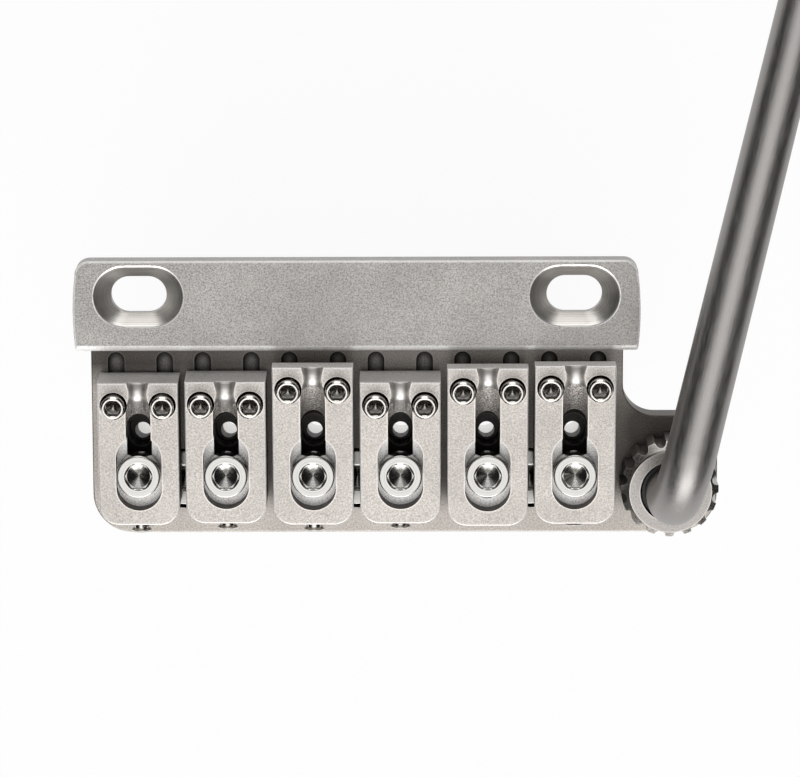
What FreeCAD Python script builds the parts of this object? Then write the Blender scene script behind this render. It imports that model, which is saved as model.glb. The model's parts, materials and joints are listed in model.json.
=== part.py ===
import FreeCAD, Part
import math
import operator
import os
from types import SimpleNamespace

import Sketcher

# Guitar tremolo bridge, in millimetres. The origin lies midway between the two mounting slots, on the
# underside of the mounting plate. +X points to the treble side, +Y to the neck and +Z up from the guitar.
# A size called back lies behind the mounting slots, towards -Y.

SIZES = {
    # Strings
    "string_pitch": 10.8,
    # Mounting plate, which is screwed to the guitar and carries the hinge
    "mount_end_bow": 0.3,
    "mount_front": 4.45,
    "mount_back": 6.95,
    "mount_thickness": 3.0,
    "mount_corner_radius": 1.8,
    "mount_edge_round": 0.3,
    "mount_rear_round": 0.9,
    "lip_length": 3.75,
    "lip_thickness": 1.5,
    "bolt_spacing": 54.0,
    "bolt_end_margin": 8.15,
    "bolt_slot_length": 6.9,
    "bolt_slot_width": 4.6,
    "countersink_length": 11.1,
    "countersink_width": 7.5,
    "countersink_depth": 1.8,
    "countersink_lip": 0.35,
    # Hinge between the mounting plate and the base plate
    "hinge_back": 4.6,
    "hinge_drop": 7.3,
    "axle_diameter": 3.0,
    "axle_fit": 0.02,
    "axle_chamfer": 0.3,
    "lug_thickness": 4.0,
    "lug_boss_radius": 3.2,
    "lug_neck_back": 0.4,
    "axle_grub_diameter": 2.0,
    "axle_grub_hex": 0.9,
    "bearing_inset": 13.0,
    "bearing_width": 2.5,
    "bearing_outer_diameter": 6.0,
    "bearing_ring_wall": 0.55,
    "bearing_fit": 0.01,
    "ball_diameter": 0.9,
    "ball_play": 0.02,
    "shim_thickness": 0.45,
    "shim_wall": 0.8,
    "hinge_side_play": 0.05,
    "barrel_radius": 4.0,
    "barrel_bore": 4.2,
    "barrel_overhang": 0.2,
    "barrel_web_back": 11.5,
    # Base plate, which carries the saddles
    "plate_top": 0.0,
    "plate_thickness": 3.5,
    "plate_side_margin": 0.75,
    "plate_front": 5.4,
    "plate_back": 30.55,
    "plate_corner_radius": 5.0,
    "plate_edge_round": 0.2,
    "ear_length": 11.85,
    "ear_front": 15.7,
    "ear_inner_radius": 4.0,
    "ear_corner_radius": 5.0,
    "groove_width": 2.1,
    "groove_depth": 1.0,
    "groove_front": 7.5,
    "groove_back": 16.4,
    "string_slot_width": 3.1,
    "string_slot_front": 15.4,
    "string_slot_back": 19.4,
    # Sustain block under the base plate
    "block_side_inset": 2.15,
    "block_front": 13.0,
    "block_back": 28.0,
    "block_height": 34.2,
    "block_foot_front": 16.0,
    "block_corner_radius": 2.0,
    "string_bore_back": 17.7,
    "string_bore_diameter": 2.0,
    "string_bore_seat": 6.0,
    "ball_end_bore": 4.8,
    "spring_spacing": 10.6,
    "spring_bore_back": 18.2,
    "spring_bore_diameter": 2.6,
    "spring_bore_depth": 8.0,
    "block_screw_back": 23.6,
    "block_screw_diameter": 4.0,
    "block_screw_length": 14.0,
    "block_head_diameter": 7.0,
    "block_head_height": 2.2,
    "block_head_hex": 3.0,
    "block_head_recess": 2.4,
    "block_head_room": 0.3,
    # Saddles
    "saddle_gap": 0.8,
    "saddle_thickness": 5.5,
    "saddle_long": 20.25,
    "saddle_short": 18.2,
    "saddle_back": 27.83,
    "saddle_corner_radius": 2.5,
    "saddle_edge_round": 0.2,
    "saddle_clearance": 0.1,
    "heel_radius": 1.0,
    "nose_height": 2.4,
    "nose_undercut": 4.0,
    "pocket_width": 5.65,
    "pocket_depth": 2.0,
    "pocket_heel": 1.9,
    "pocket_length": 9.5,
    "saddle_slot_width": 3.1,
    "saddle_slot_heel": 3.0,
    "saddle_slot_length": 10.8,
    "crown_setback": 1.45,
    "crown_path_radius": 3.3,
    "crown_tube_radius": 1.5,
    "crown_rise": 0.96,
    "setback_1": 0.28,
    "setback_2": 0.05,
    "setback_3": 0.2,
    "setback_4": 0.05,
    "setback_5": 0.4,
    "setback_6": 0.2,
    # Saddle screws
    "height_screw_edge": 1.97,
    "height_screw_setback": 2.85,
    "height_screw_diameter": 3.0,
    "height_screw_play": 0.2,
    "height_screw_proud": 1.4,
    "height_screw_hex": 1.5,
    "height_screw_chamfer": 0.25,
    "dog_diameter": 1.9,
    "dog_length": 1.4,
    "dog_clearance": 0.15,
    "lock_back": 21.85,
    "lock_diameter": 3.0,
    "lock_head_diameter": 5.4,
    "lock_head_height": 3.0,
    "lock_head_chamfer": 0.25,
    "lock_head_clearance": 0.5,
    "lock_hex": 3.0,
    "intonation_diameter": 2.5,
    "intonation_height": 1.9,
    "intonation_play": 0.13,
    "intonation_tip_gap": 0.05,
    "intonation_hex": 1.3,
    "intonation_proud_1": 1.8,
    "intonation_proud_2": 1.7,
    "intonation_proud_3": 1.8,
    "intonation_proud_4": 1.65,
    "intonation_proud_5": 0.9,
    "intonation_proud_6": 1.2,
    "thread_fit": 0.02,
    # Arm and its socket
    "arm_side": 5.6,
    "arm_back": 23.8,
    "arm_diameter": 6.2,
    "arm_tip_diameter": 5.2,
    "arm_fit": 0.03,
    "arm_bend_radius": 9.0,
    "arm_bend_lift": 3.6,
    "arm_straight": 128.0,
    "sleeve_wall": 0.37,
    "sleeve_proud": 0.5,
    "bushing_diameter": 9.0,
    "bushing_rise": 5.9,
    "bushing_drop": 8.0,
    "bushing_flange_diameter": 11.0,
    "bushing_flange_height": 1.5,
    "bushing_slit": 0.8,
    "bushing_slit_depth": 4.5,
    "nut_clearance": 0.3,
    "nut_root_diameter": 10.8,
    "nut_diameter": 12.1,
    "nut_height": 6.2,
    "nut_lobe_width": 1.35,
    "nut_collar_diameter": 10.2,
    "nut_collar_height": 1.3,
    "nut_mouth_diameter": 7.5,
    "nut_thread_fit": 0.05,
    # How far a cutting tool runs past the surface that it cuts
    "overrun": 1.0,
    # Angles, in degrees
    "string_bore_lean": 6.8,
    "crown_angle": 37.0,
    "tilt_1": 3.6,
    "tilt_2": 4.2,
    "tilt_3": 4.6,
    "tilt_4": 4.8,
    "tilt_5": 4.4,
    "tilt_6": 3.8,
    "arm_bend_angle": 86.0,
    "arm_heading": 12.6,
}

STRINGS = range(1, 7)
LONG_SADDLES = (3, 5, 6)
BLOCK_SCREWS = (-1, 0, 1)
SPRINGS = (-2, -1, 0, 1, 2)
SIDES = (-1, 1)
BALLS = 8
NUT_LOBES = 16
HEX = 6
COUNTERCLOCKWISE = 1
CLOCKWISE = -1
QUARTER_TURN = 90
FULL_TURN = 360
LEVEL_SHARE = 1e-4
WHOLE_EDGE_SHARE = 0.99

OPERATIONS = {"+": operator.add, "-": operator.sub, "*": operator.mul, "/": operator.truediv}

X_AXIS = FreeCAD.Vector(1, 0, 0)
Y_AXIS = FreeCAD.Vector(0, 1, 0)
Z_AXIS = FreeCAD.Vector(0, 0, 1)


class Size:
    """A length or an angle: its value now, and the sheet expression that it follows."""

    def __init__(self, value, text):
        self.value = value
        self.text = text

    def __add__(self, other):
        return combine(self, "+", other)

    def __radd__(self, other):
        return combine(other, "+", self)

    def __sub__(self, other):
        return combine(self, "-", other)

    def __rsub__(self, other):
        return combine(other, "-", self)

    def __mul__(self, other):
        return combine(self, "*", other)

    def __rmul__(self, other):
        return combine(other, "*", self)

    def __truediv__(self, other):
        return combine(self, "/", other)

    def __neg__(self):
        return combine(0, "-", self)


def as_size(number):
    """A plain number as a Size of its own, so that both kinds can be mixed."""
    if isinstance(number, Size):
        return number
    return Size(float(number), f"({float(number)!r})")


def combine(left, sign, right):
    left = as_size(left)
    right = as_size(right)
    return Size(OPERATIONS[sign](left.value, right.value), f"({left.text} {sign} {right.text})")


def sine(angle):
    return Size(math.sin(math.radians(angle.value)), f"sin({angle.text})")


def cosine(angle):
    return Size(math.cos(math.radians(angle.value)), f"cos({angle.text})")


def other_leg(hypotenuse, leg):
    """The third side of a right-angled triangle."""
    rest = hypotenuse * hypotenuse - leg * leg
    return Size(math.sqrt(rest.value), f"sqrt({rest.text})")


doc = FreeCAD.newDocument("tremolo_bridge")
sheet = doc.addObject("Spreadsheet::Sheet", "Sizes")
for row, (alias, number) in enumerate(SIZES.items(), start=1):
    sheet.set(f"A{row}", alias)
    sheet.set(f"B{row}", str(number))
    sheet.setAlias(f"B{row}", alias)
doc.recompute()
size = SimpleNamespace(**{alias: Size(number, f"Sizes.{alias}") for alias, number in SIZES.items()})

# Places that several pieces share
hinge_y = -size.hinge_back
hinge_z = -size.hinge_drop
plate_bottom = size.plate_top - size.plate_thickness
bearing_end = size.bearing_inset + size.bearing_width
lug_inner = bearing_end + size.shim_thickness + size.hinge_side_play
lug_outer = lug_inner + size.lug_thickness
lug_middle = lug_inner + size.lug_thickness / 2
step_y = size.lip_length - size.mount_back
bearing_radius = size.bearing_outer_diameter / 2
axle_radius = size.axle_diameter / 2
inner_ring_radius = axle_radius + size.bearing_ring_wall
outer_ring_bore = bearing_radius - size.bearing_ring_wall
ball_path = (inner_ring_radius + outer_ring_bore) / 2
heel_z = size.plate_top + size.saddle_clearance + size.heel_radius
saddle_top = size.saddle_thickness - size.heel_radius
groove_floor = size.plate_top - size.groove_depth
nut_bottom = size.plate_top + size.nut_clearance
nut_shoulder = nut_bottom + size.nut_height
nut_top = nut_shoulder + size.nut_collar_height
bushing_bottom = plate_bottom - size.bushing_drop
bushing_top = size.plate_top + size.bushing_rise
sleeve_bore = size.arm_diameter / 2 + size.arm_fit
sleeve_radius = sleeve_bore + size.sleeve_wall
bushing_bore = sleeve_radius + size.arm_fit
bushing_radius = size.bushing_diameter / 2
plate_side = size.string_pitch * len(STRINGS) / 2 + size.plate_side_margin
arm_x = plate_side + size.arm_side
saddle_width = size.string_pitch - size.saddle_gap
height_screw_x = saddle_width / 2 - size.height_screw_edge


def string_x(string):
    return size.string_pitch * (string - (1 + len(STRINGS)) / 2)


def numbered(stem, string):
    """The size of that name for one string."""
    return getattr(size, f"{stem}_{string}")


def saddle_length(string):
    return size.saddle_long if string in LONG_SADDLES else size.saddle_short


def heel_y(string):
    """The line about which a saddle tips when its height is set."""
    return size.heel_radius - size.saddle_back - numbered("setback", string)


def bind(feature, path, amount):
    """Ties one property of a feature to the sheet."""
    feature.setExpression(path, as_size(amount).text)


def put(feature, x=0, y=0, z=0, axis=None, angle=None):
    """Places a feature, turned about an axis where one is given."""
    if axis is not None:
        turn = as_size(angle)
        feature.Placement = FreeCAD.Placement(FreeCAD.Vector(), FreeCAD.Rotation(axis, turn.value))
        bind(feature, "Placement.Rotation.Angle", turn)
    bind(feature, "Placement.Base.x", x)
    bind(feature, "Placement.Base.y", y)
    bind(feature, "Placement.Base.z", z)
    return feature


def part_body(label):
    body = doc.addObject("PartDesign::Body", label)
    body.Label = label
    return body


def origin_plane(body, role):
    return next(plane for plane in body.Origin.OriginFeatures if plane.Role == role)


def flat_point(across, up):
    return FreeCAD.Vector(as_size(across).value, as_size(up).value, 0)


def loop_edge(before, corner):
    """The edge that ends at a corner, with the end numbers that it starts and stops at."""
    start = flat_point(*before[:2])
    stop = flat_point(*corner[:2])
    if len(corner) == 2:
        return Part.LineSegment(start, stop), 1, 2
    centre = flat_point(*corner[2:4])
    start_angle = math.atan2(start.y - centre.y, start.x - centre.x)
    stop_angle = math.atan2(stop.y - centre.y, stop.x - centre.x)
    circle = Part.Circle(centre, Z_AXIS, (start - centre).Length)
    if corner[4] == COUNTERCLOCKWISE:
        return Part.ArcOfCircle(circle, start_angle, stop_angle), 1, 2
    return Part.ArcOfCircle(circle, stop_angle, start_angle), 2, 1


def pin_point(geometry, end, across, up):
    """The two ties that hold a point of a sketch at its place."""
    for kind, amount in (("DistanceX", as_size(across)), ("DistanceY", as_size(up))):
        yield Sketcher.Constraint(kind, -1, 1, geometry, end, amount.value), amount.text


def loop_ties(drawing, corners):
    """Draws a closed loop. A corner is (across, up), or (across, up, centre across, centre up, way)
    where an arc leads to it."""
    edges = []
    for before, corner in zip([corners[-1], *corners[:-1]], corners):
        edge, near, far = loop_edge(before, corner)
        geometry = drawing.addGeometry(edge)
        edges.append((geometry, near, far))
        yield from pin_point(geometry, far, *corner[:2])
        if len(corner) > 2:
            chord = flat_point(*corner[:2]) - flat_point(*before[:2])
            upright = abs(chord.y) > abs(chord.x)
            kind = "DistanceX" if upright else "DistanceY"
            amount = as_size(corner[2] if upright else corner[3])
            yield Sketcher.Constraint(kind, -1, 1, geometry, 3, amount.value), amount.text
    for (before, _, far), (after, near, _) in zip(edges, [*edges[1:], edges[0]]):
        yield Sketcher.Constraint("Coincident", before, far, after, near), None


def circle_ties(drawing, across, up, radius):
    circle = Part.Circle(flat_point(across, up), Z_AXIS, radius.value)
    geometry = drawing.addGeometry(circle)
    yield from pin_point(geometry, 3, across, up)
    yield Sketcher.Constraint("Radius", geometry, radius.value), radius.text


def axis_ties(drawing, up, reach):
    """A construction line along the sketch's first direction, for a revolve."""
    line = Part.LineSegment(flat_point(0, up), flat_point(reach, up))
    geometry = drawing.addGeometry(line, True)
    yield from pin_point(geometry, 1, 0, up)
    yield from pin_point(geometry, 2, reach, up)


def draw(body, name, plane, loops=(), circles=(), lift=0, axis=None):
    """A sketch on one of the body's origin planes, lifted off it, whose points follow the sheet."""
    drawing = body.newObject("Sketcher::SketchObject", f"{body.Name}_{name}")
    drawing.AttachmentSupport = [(origin_plane(body, plane), "")]
    drawing.MapMode = "FlatFace"
    bind(drawing, "AttachmentOffset.Base.z", lift)
    ties = []
    if axis is not None:
        ties.extend(axis_ties(drawing, *axis))
    for corners in loops:
        ties.extend(loop_ties(drawing, corners))
    for circle in circles:
        ties.extend(circle_ties(drawing, *circle))
    places = drawing.addConstraint([tie for tie, _ in ties])
    for place, (_, text) in zip(places, ties):
        if text is not None:
            drawing.setExpression(f"Constraints[{place}]", text)
    return drawing


def pad(body, profile, length, symmetric=False):
    feature = body.newObject("PartDesign::Pad", f"{profile.Name}_pad")
    feature.Profile = profile
    feature.SideType = "Symmetric" if symmetric else "One side"
    bind(feature, "Length", length)
    return feature


def pocket(body, profile, depth=None, upwards=False, both_ways=False):
    """Cuts a profile to a depth, or right through where none is given."""
    feature = body.newObject("PartDesign::Pocket", f"{profile.Name}_pocket")
    feature.Profile = profile
    feature.Reversed = upwards
    feature.SideType = "Symmetric" if both_ways else "One side"
    if depth is None:
        feature.Type = "ThroughAll"
    else:
        bind(feature, "Length", depth)
    return feature


def bore(body, name, radius, depth, **place):
    """A straight drilled hole at any angle."""
    feature = body.newObject("PartDesign::SubtractiveCylinder", f"{body.Name}_{name}")
    bind(feature, "Radius", radius)
    bind(feature, "Height", depth)
    return put(feature, **place)


def turned(label, corners):
    """A piece turned about Z from its half section, given as (radius, height) corners."""
    body = part_body(label)
    section = draw(body, "section", "XZ_Plane", [corners])
    revolve = body.newObject("PartDesign::Revolution", f"{label}_revolve")
    revolve.Profile = section
    revolve.ReferenceAxis = (section, ["V_Axis"])
    revolve.Angle = FULL_TURN
    return body


def tube(label, bore_radius, radius, bottom, top):
    return turned(label, [(bore_radius, bottom), (radius, bottom), (radius, top), (bore_radius, top)])


def round_edges(body, name, radius, chosen):
    """Rounds the edges of a body that a test picks."""
    doc.recompute()
    base = body.Tip
    picked = [f"Edge{number}" for number, edge in enumerate(base.Shape.Edges, start=1) if chosen(edge)]
    feature = body.newObject("PartDesign::Fillet", f"{body.Name}_{name}")
    feature.Base = (base, picked)
    bind(feature, "Radius", radius)
    return feature


def lies_at(edge, height):
    """Whether an edge lies in the level plane at a height."""
    box = edge.BoundBox
    near = LEVEL_SHARE * size.mount_thickness.value
    return abs(box.ZMin - height.value) < near and abs(box.ZMax - height.value) < near


def stands_up(edge, height):
    """Whether an edge runs over the whole of a height."""
    return edge.BoundBox.ZLength > WHOLE_EDGE_SHARE * height.value


def hexagon(flats):
    """The corners of a hexagon by its width across flats."""
    corner_radius = flats / (2 * math.cos(math.pi / HEX))
    turns = [2 * math.pi * side / HEX for side in range(HEX)]
    return [(corner_radius * math.cos(turn), corner_radius * math.sin(turn)) for turn in turns]


def obround(x, y, length, width):
    """A slot with round ends, whose length runs along the sketch's first direction."""
    end = width / 2
    straight = length / 2 - end
    return [
        (x + straight, y - end),
        (x + straight, y + end, x + straight, y, COUNTERCLOCKWISE),
        (x - straight, y + end),
        (x - straight, y - end, x - straight, y, COUNTERCLOCKWISE),
    ]


def upright_obround(x, low, high, width):
    """A slot with round ends, whose length runs along the sketch's second direction."""
    end = width / 2
    return [
        (x + end, low + end, x, low + end, COUNTERCLOCKWISE),
        (x + end, high - end),
        (x - end, high - end, x, high - end, COUNTERCLOCKWISE),
        (x - end, low + end),
    ]


def socket(body, flats, top, depth):
    """A hexagon socket sunk from the top of a screw."""
    pocket(body, draw(body, "socket", "XY_Plane", [hexagon(flats)], lift=top), depth)


def group(label, pieces):
    """Like pieces that share one node."""
    compound = doc.addObject("Part::Compound", label)
    compound.Label = label
    compound.Links = pieces
    return compound


def mounting_plate():
    body = part_body("mounting_plate")
    side = size.bolt_spacing / 2 + size.bolt_end_margin - size.mount_end_bow
    corner = size.mount_corner_radius
    shoulder = size.mount_front - corner
    chord = shoulder + size.mount_back
    bow_radius = chord * chord / (8 * size.mount_end_bow) + size.mount_end_bow / 2
    bow_x = side + size.mount_end_bow - bow_radius
    bow_y = (shoulder - size.mount_back) / 2
    outline = [
        (-side, -size.mount_back, -bow_x, bow_y, COUNTERCLOCKWISE),
        (side, -size.mount_back),
        (side, shoulder, bow_x, bow_y, COUNTERCLOCKWISE),
        (side - corner, size.mount_front, side - corner, shoulder, COUNTERCLOCKWISE),
        (corner - side, size.mount_front),
        (-side, shoulder, corner - side, shoulder, COUNTERCLOCKWISE),
    ]
    pad(body, draw(body, "outline", "XY_Plane", [outline]), size.mount_thickness)
    round_mount_edges(body)
    hang_lugs(body)
    cut_under_lip(body)
    for side_name, side_sign in (("bass", -1), ("treble", 1)):
        sink_bolt_slot(body, side_name, side_sign * size.bolt_spacing / 2)
    return body


def round_mount_edges(body):
    """Rounds the plate's top edges, the rear one more than the others."""
    top = size.mount_thickness

    def at_rear(edge):
        return lies_at(edge, top) and edge.BoundBox.YMax < step_y.value

    def elsewhere(edge):
        return lies_at(edge, top) and not at_rear(edge)

    round_edges(body, "rear_round", size.mount_rear_round, at_rear)
    round_edges(body, "edge_round", size.mount_edge_round, elsewhere)


def cut_under_lip(body):
    """Thins the rear of the plate, so that the base plate's front edge can swing under it."""
    rear = -size.mount_back - size.overrun
    lip_z = size.mount_thickness - size.lip_thickness
    under_lip = [(rear, -size.overrun), (step_y, -size.overrun), (step_y, lip_z), (rear, lip_z)]
    pocket(body, draw(body, "under_lip", "YZ_Plane", [under_lip]), both_ways=True)


def sink_bolt_slot(body, name, x):
    """A slotted hole for a mounting screw, with a countersink of the same form and a rounded lip."""
    top = size.mount_thickness
    through = obround(x, 0, size.bolt_slot_length, size.bolt_slot_width)
    pocket(body, draw(body, f"{name}_slot", "XY_Plane", [through], lift=top))
    mouth = obround(x, 0, size.countersink_length, size.countersink_width)
    upper = draw(body, f"{name}_mouth", "XY_Plane", [mouth], lift=top)
    lower = draw(body, f"{name}_land", "XY_Plane", [through], lift=top - size.countersink_depth)
    cone = body.newObject("PartDesign::SubtractiveLoft", f"{name}_countersink")
    cone.Profile = upper
    cone.Sections = [lower]
    cone.Ruled = True
    reach = size.countersink_length.value / 2

    def at_mouth(edge):
        return lies_at(edge, top) and abs(edge.BoundBox.Center.x - x.value) < reach

    round_edges(body, f"{name}_lip", size.countersink_lip, at_mouth)


def hang_lugs(body):
    """Two lugs that hang from the front of the plate and hold the hinge axle."""
    boss = size.lug_boss_radius
    root = size.mount_thickness / 2
    neck_z = hinge_z + other_leg(boss, step_y - hinge_y)
    lug = [
        (-size.lug_neck_back, root),
        (hinge_y + boss, hinge_z),
        (hinge_y - boss, hinge_z, hinge_y, hinge_z, CLOCKWISE),
        (step_y, neck_z, hinge_y, hinge_z, CLOCKWISE),
        (step_y, root),
    ]
    for name, start in (("bass_lug", -lug_outer), ("treble_lug", lug_inner)):
        pad(body, draw(body, name, "YZ_Plane", [lug], lift=start), size.lug_thickness)
    axle_hole = (hinge_y, hinge_z, axle_radius + size.axle_fit)
    pocket(body, draw(body, "axle_hole", "YZ_Plane", circles=[axle_hole]), both_ways=True)
    grub_radius = size.axle_grub_diameter / 2 + size.thread_fit
    grubs = [(sign * lug_middle, hinge_y, grub_radius) for sign in SIDES]
    pocket(body, draw(body, "grub_holes", "XY_Plane", circles=grubs, lift=hinge_z), boss + size.overrun)


def hinge_axle():
    radius = axle_radius
    chamfer = size.axle_chamfer
    corners = [
        (0, -lug_outer),
        (radius - chamfer, -lug_outer),
        (radius, chamfer - lug_outer),
        (radius, lug_outer - chamfer),
        (radius - chamfer, lug_outer),
        (0, lug_outer),
    ]
    return put(turned("hinge_axle", corners), 0, hinge_y, hinge_z, Y_AXIS, QUARTER_TURN)


def axle_grub_screws():
    """Grub screws that stop the axle from turning in the lugs."""
    radius = size.axle_grub_diameter / 2
    bottom = hinge_z - size.lug_boss_radius
    length = size.lug_boss_radius - axle_radius - size.axle_fit
    screws = []
    for sign in SIDES:
        corners = [(0, 0), (radius, 0), (radius, length), (0, length)]
        screw = turned("axle_grub_screw", corners)
        hole = draw(screw, "socket", "XY_Plane", [hexagon(size.axle_grub_hex)])
        pocket(screw, hole, length / 2, upwards=True)
        screws.append(put(screw, sign * lug_middle, hinge_y, bottom))
    return group("axle_grub_screws", screws)


def on_hinge(label, corners, width, offset):
    """A turned hinge piece at each end of the hinge, its near face that far from the middle."""
    pieces = []
    for start in (-offset - width, offset):
        body = turned(f"{label}_piece", corners)
        pieces.append(put(body, start, hinge_y, hinge_z, Y_AXIS, QUARTER_TURN))
    return group(label, pieces)


def ring_section(flat_radius, race_radius):
    """The half section of a bearing ring whose face at race_radius has the balls' groove."""
    width = size.bearing_width
    groove = size.ball_diameter / 2 + size.ball_play
    half_mouth = other_leg(groove, ball_path - race_radius)
    middle = width / 2
    way = CLOCKWISE if race_radius.value > flat_radius.value else COUNTERCLOCKWISE
    return [
        (flat_radius, 0),
        (race_radius, 0),
        (race_radius, middle - half_mouth),
        (race_radius, middle + half_mouth, ball_path, middle, way),
        (race_radius, width),
        (flat_radius, width),
    ]


def hinge_bearings():
    """Two small ball bearings, each of an inner ring, its balls and an outer ring."""
    width = size.bearing_width
    inner = ring_section(axle_radius + size.bearing_fit, inner_ring_radius)
    outer = ring_section(bearing_radius, outer_ring_bore)
    inner_rings = on_hinge("bearing_inner_rings", inner, width, size.bearing_inset)
    outer_rings = on_hinge("bearing_outer_rings", outer, width, size.bearing_inset)
    balls = []
    for sign in SIDES:
        for ball_number in range(BALLS):
            turn = 2 * math.pi * ball_number / BALLS
            ball = doc.addObject("Part::Sphere", "bearing_ball")
            bind(ball, "Radius", size.ball_diameter / 2)
            put(
                ball,
                sign * (size.bearing_inset + width / 2),
                hinge_y + ball_path * math.cos(turn),
                hinge_z + ball_path * math.sin(turn),
            )
            balls.append(ball)
    return [inner_rings, group("bearing_balls", balls), outer_rings]


def hinge_shims():
    """Thin washers between the bearings' inner rings and the lugs."""
    hole = axle_radius + size.axle_fit
    rim = axle_radius + size.shim_wall
    corners = [(hole, 0), (rim, 0), (rim, size.shim_thickness), (hole, size.shim_thickness)]
    return on_hinge("hinge_shims", corners, size.shim_thickness, bearing_end)


def base_plate():
    body = part_body("base_plate")
    side = plate_side
    back = -size.plate_back
    corner = size.plate_corner_radius
    ear = size.ear_corner_radius
    inner = size.ear_inner_radius
    ear_side = side + size.ear_length
    ear_front = -size.ear_front
    outline = [
        (-side, -size.plate_front),
        (-side, back + corner),
        (corner - side, back, corner - side, back + corner, COUNTERCLOCKWISE),
        (ear_side - ear, back),
        (ear_side, back + ear, ear_side - ear, back + ear, COUNTERCLOCKWISE),
        (ear_side, ear_front - ear),
        (ear_side - ear, ear_front, ear_side - ear, ear_front - ear, COUNTERCLOCKWISE),
        (side + inner, ear_front),
        (side, ear_front + inner, side + inner, ear_front + inner, CLOCKWISE),
        (side, -size.plate_front),
    ]
    pad(body, draw(body, "outline", "XY_Plane", [outline], lift=plate_bottom), size.plate_thickness)
    round_edges(body, "edge_round", size.plate_edge_round, lambda edge: lies_at(edge, size.plate_top))
    add_hinge_barrel(body)
    cut_saddle_seats(body)
    cut_screw_holes(body)
    return body


def add_hinge_barrel(body):
    """The barrel under the plate's front edge that turns on the bearings."""
    radius = size.barrel_radius
    half = bearing_end + size.barrel_overhang
    middle = size.plate_top - size.plate_thickness / 2
    edge_z = hinge_z + other_leg(radius, size.plate_front - size.hinge_back)
    barrel = [
        (-size.barrel_web_back, middle),
        (hinge_y - radius, hinge_z),
        (hinge_y + radius, hinge_z, hinge_y, hinge_z, COUNTERCLOCKWISE),
        (-size.plate_front, edge_z, hinge_y, hinge_z, COUNTERCLOCKWISE),
        (-size.plate_front, middle),
    ]
    pad(body, draw(body, "barrel", "YZ_Plane", [barrel]), half * 2, symmetric=True)
    bore_circle = (hinge_y, hinge_z, size.barrel_bore / 2)
    pocket(body, draw(body, "barrel_bore", "YZ_Plane", circles=[bore_circle]), both_ways=True)
    seat = (hinge_y, hinge_z, bearing_radius + size.bearing_fit)
    depth = half - size.bearing_inset
    pocket(body, draw(body, "treble_seat", "YZ_Plane", circles=[seat], lift=half), depth)
    pocket(body, draw(body, "bass_seat", "YZ_Plane", circles=[seat], lift=-half), depth, upwards=True)


def cut_saddle_seats(body):
    """Grooves for the tips of the height screws, and slots for the strings."""
    half = size.groove_width / 2
    grooves = []
    slots = []
    for string in STRINGS:
        for sign in SIDES:
            x = string_x(string) + sign * height_screw_x
            front = -size.groove_front - half
            grooves.append([
                (x - half, -size.groove_back),
                (x + half, -size.groove_back),
                (x + half, front),
                (x - half, front, x, front, COUNTERCLOCKWISE),
            ])
        slots.append(upright_obround(
            string_x(string), -size.string_slot_back, -size.string_slot_front, size.string_slot_width,
        ))
    pocket(body, draw(body, "grooves", "XY_Plane", grooves, lift=size.plate_top), size.groove_depth)
    pocket(body, draw(body, "string_slots", "XY_Plane", slots, lift=size.plate_top))


def cut_screw_holes(body):
    """Holes for the lock screws, the block screws and the arm's bushing."""
    top = size.plate_top
    lock = size.lock_diameter / 2 + size.thread_fit
    locks = [(string_x(string), -size.lock_back, lock) for string in STRINGS]
    pocket(body, draw(body, "lock_holes", "XY_Plane", circles=locks, lift=top))
    shank = size.block_screw_diameter / 2 + size.thread_fit
    head = size.block_head_diameter / 2 + size.block_head_room
    places = [block_screw_x(number) for number in BLOCK_SCREWS]
    shanks = [(x, -size.block_screw_back, shank) for x in places]
    heads = [(x, -size.block_screw_back, head) for x in places]
    pocket(body, draw(body, "block_holes", "XY_Plane", circles=shanks, lift=top))
    pocket(body, draw(body, "counterbores", "XY_Plane", circles=heads, lift=top), size.block_head_recess)
    socket_hole = (arm_x, -size.arm_back, bushing_radius)
    pocket(body, draw(body, "arm_hole", "XY_Plane", circles=[socket_hole], lift=top))


def block_screw_x(number):
    return size.string_pitch * 2 * number


def sustain_block():
    body = part_body("sustain_block")
    bottom = plate_bottom - size.block_height
    section = [
        (-size.block_front, plate_bottom),
        (-size.block_back, plate_bottom),
        (-size.block_back, bottom),
        (-size.block_foot_front, bottom),
    ]
    width = 2 * (plate_side - size.block_side_inset)
    pad(body, draw(body, "section", "YZ_Plane", [section]), width, symmetric=True)
    round_edges(
        body, "corner_round", size.block_corner_radius, lambda edge: stands_up(edge, size.block_height),
    )
    for string in STRINGS:
        bore_string_hole(body, string, bottom)
    shank = size.block_screw_diameter / 2 + size.thread_fit
    tapped = [(block_screw_x(number), -size.block_screw_back, shank) for number in BLOCK_SCREWS]
    tapping = draw(body, "tapped_holes", "XY_Plane", circles=tapped, lift=plate_bottom)
    pocket(body, tapping, size.block_screw_length)
    hook = size.spring_bore_diameter / 2
    hooks = [(size.spring_spacing * number, -size.spring_bore_back, hook) for number in SPRINGS]
    depth = size.spring_bore_depth
    spring_bores = draw(body, "spring_bores", "XY_Plane", circles=hooks, lift=bottom + depth)
    pocket(body, spring_bores, depth + size.overrun)
    return body


def bore_string_hole(body, string, bottom):
    """A leaning string hole: narrow at the top, and wide below the seat of the string's ball end."""
    lean = size.string_bore_lean
    to_seat = (size.plate_top - plate_bottom + size.string_bore_seat) / cosine(lean)
    to_end = (size.plate_top - bottom) / cosine(lean) + size.overrun

    def at(distance):
        return {
            "x": string_x(string),
            "y": -size.string_bore_back - distance * sine(lean),
            "z": size.plate_top - distance * cosine(lean),
            "axis": X_AXIS,
            "angle": -lean,
        }

    bore(body, f"string_hole_{string}", size.string_bore_diameter / 2, to_seat, **at(to_seat))
    bore(body, f"ball_end_hole_{string}", size.ball_end_bore / 2, to_end - to_seat, **at(to_end))


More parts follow.
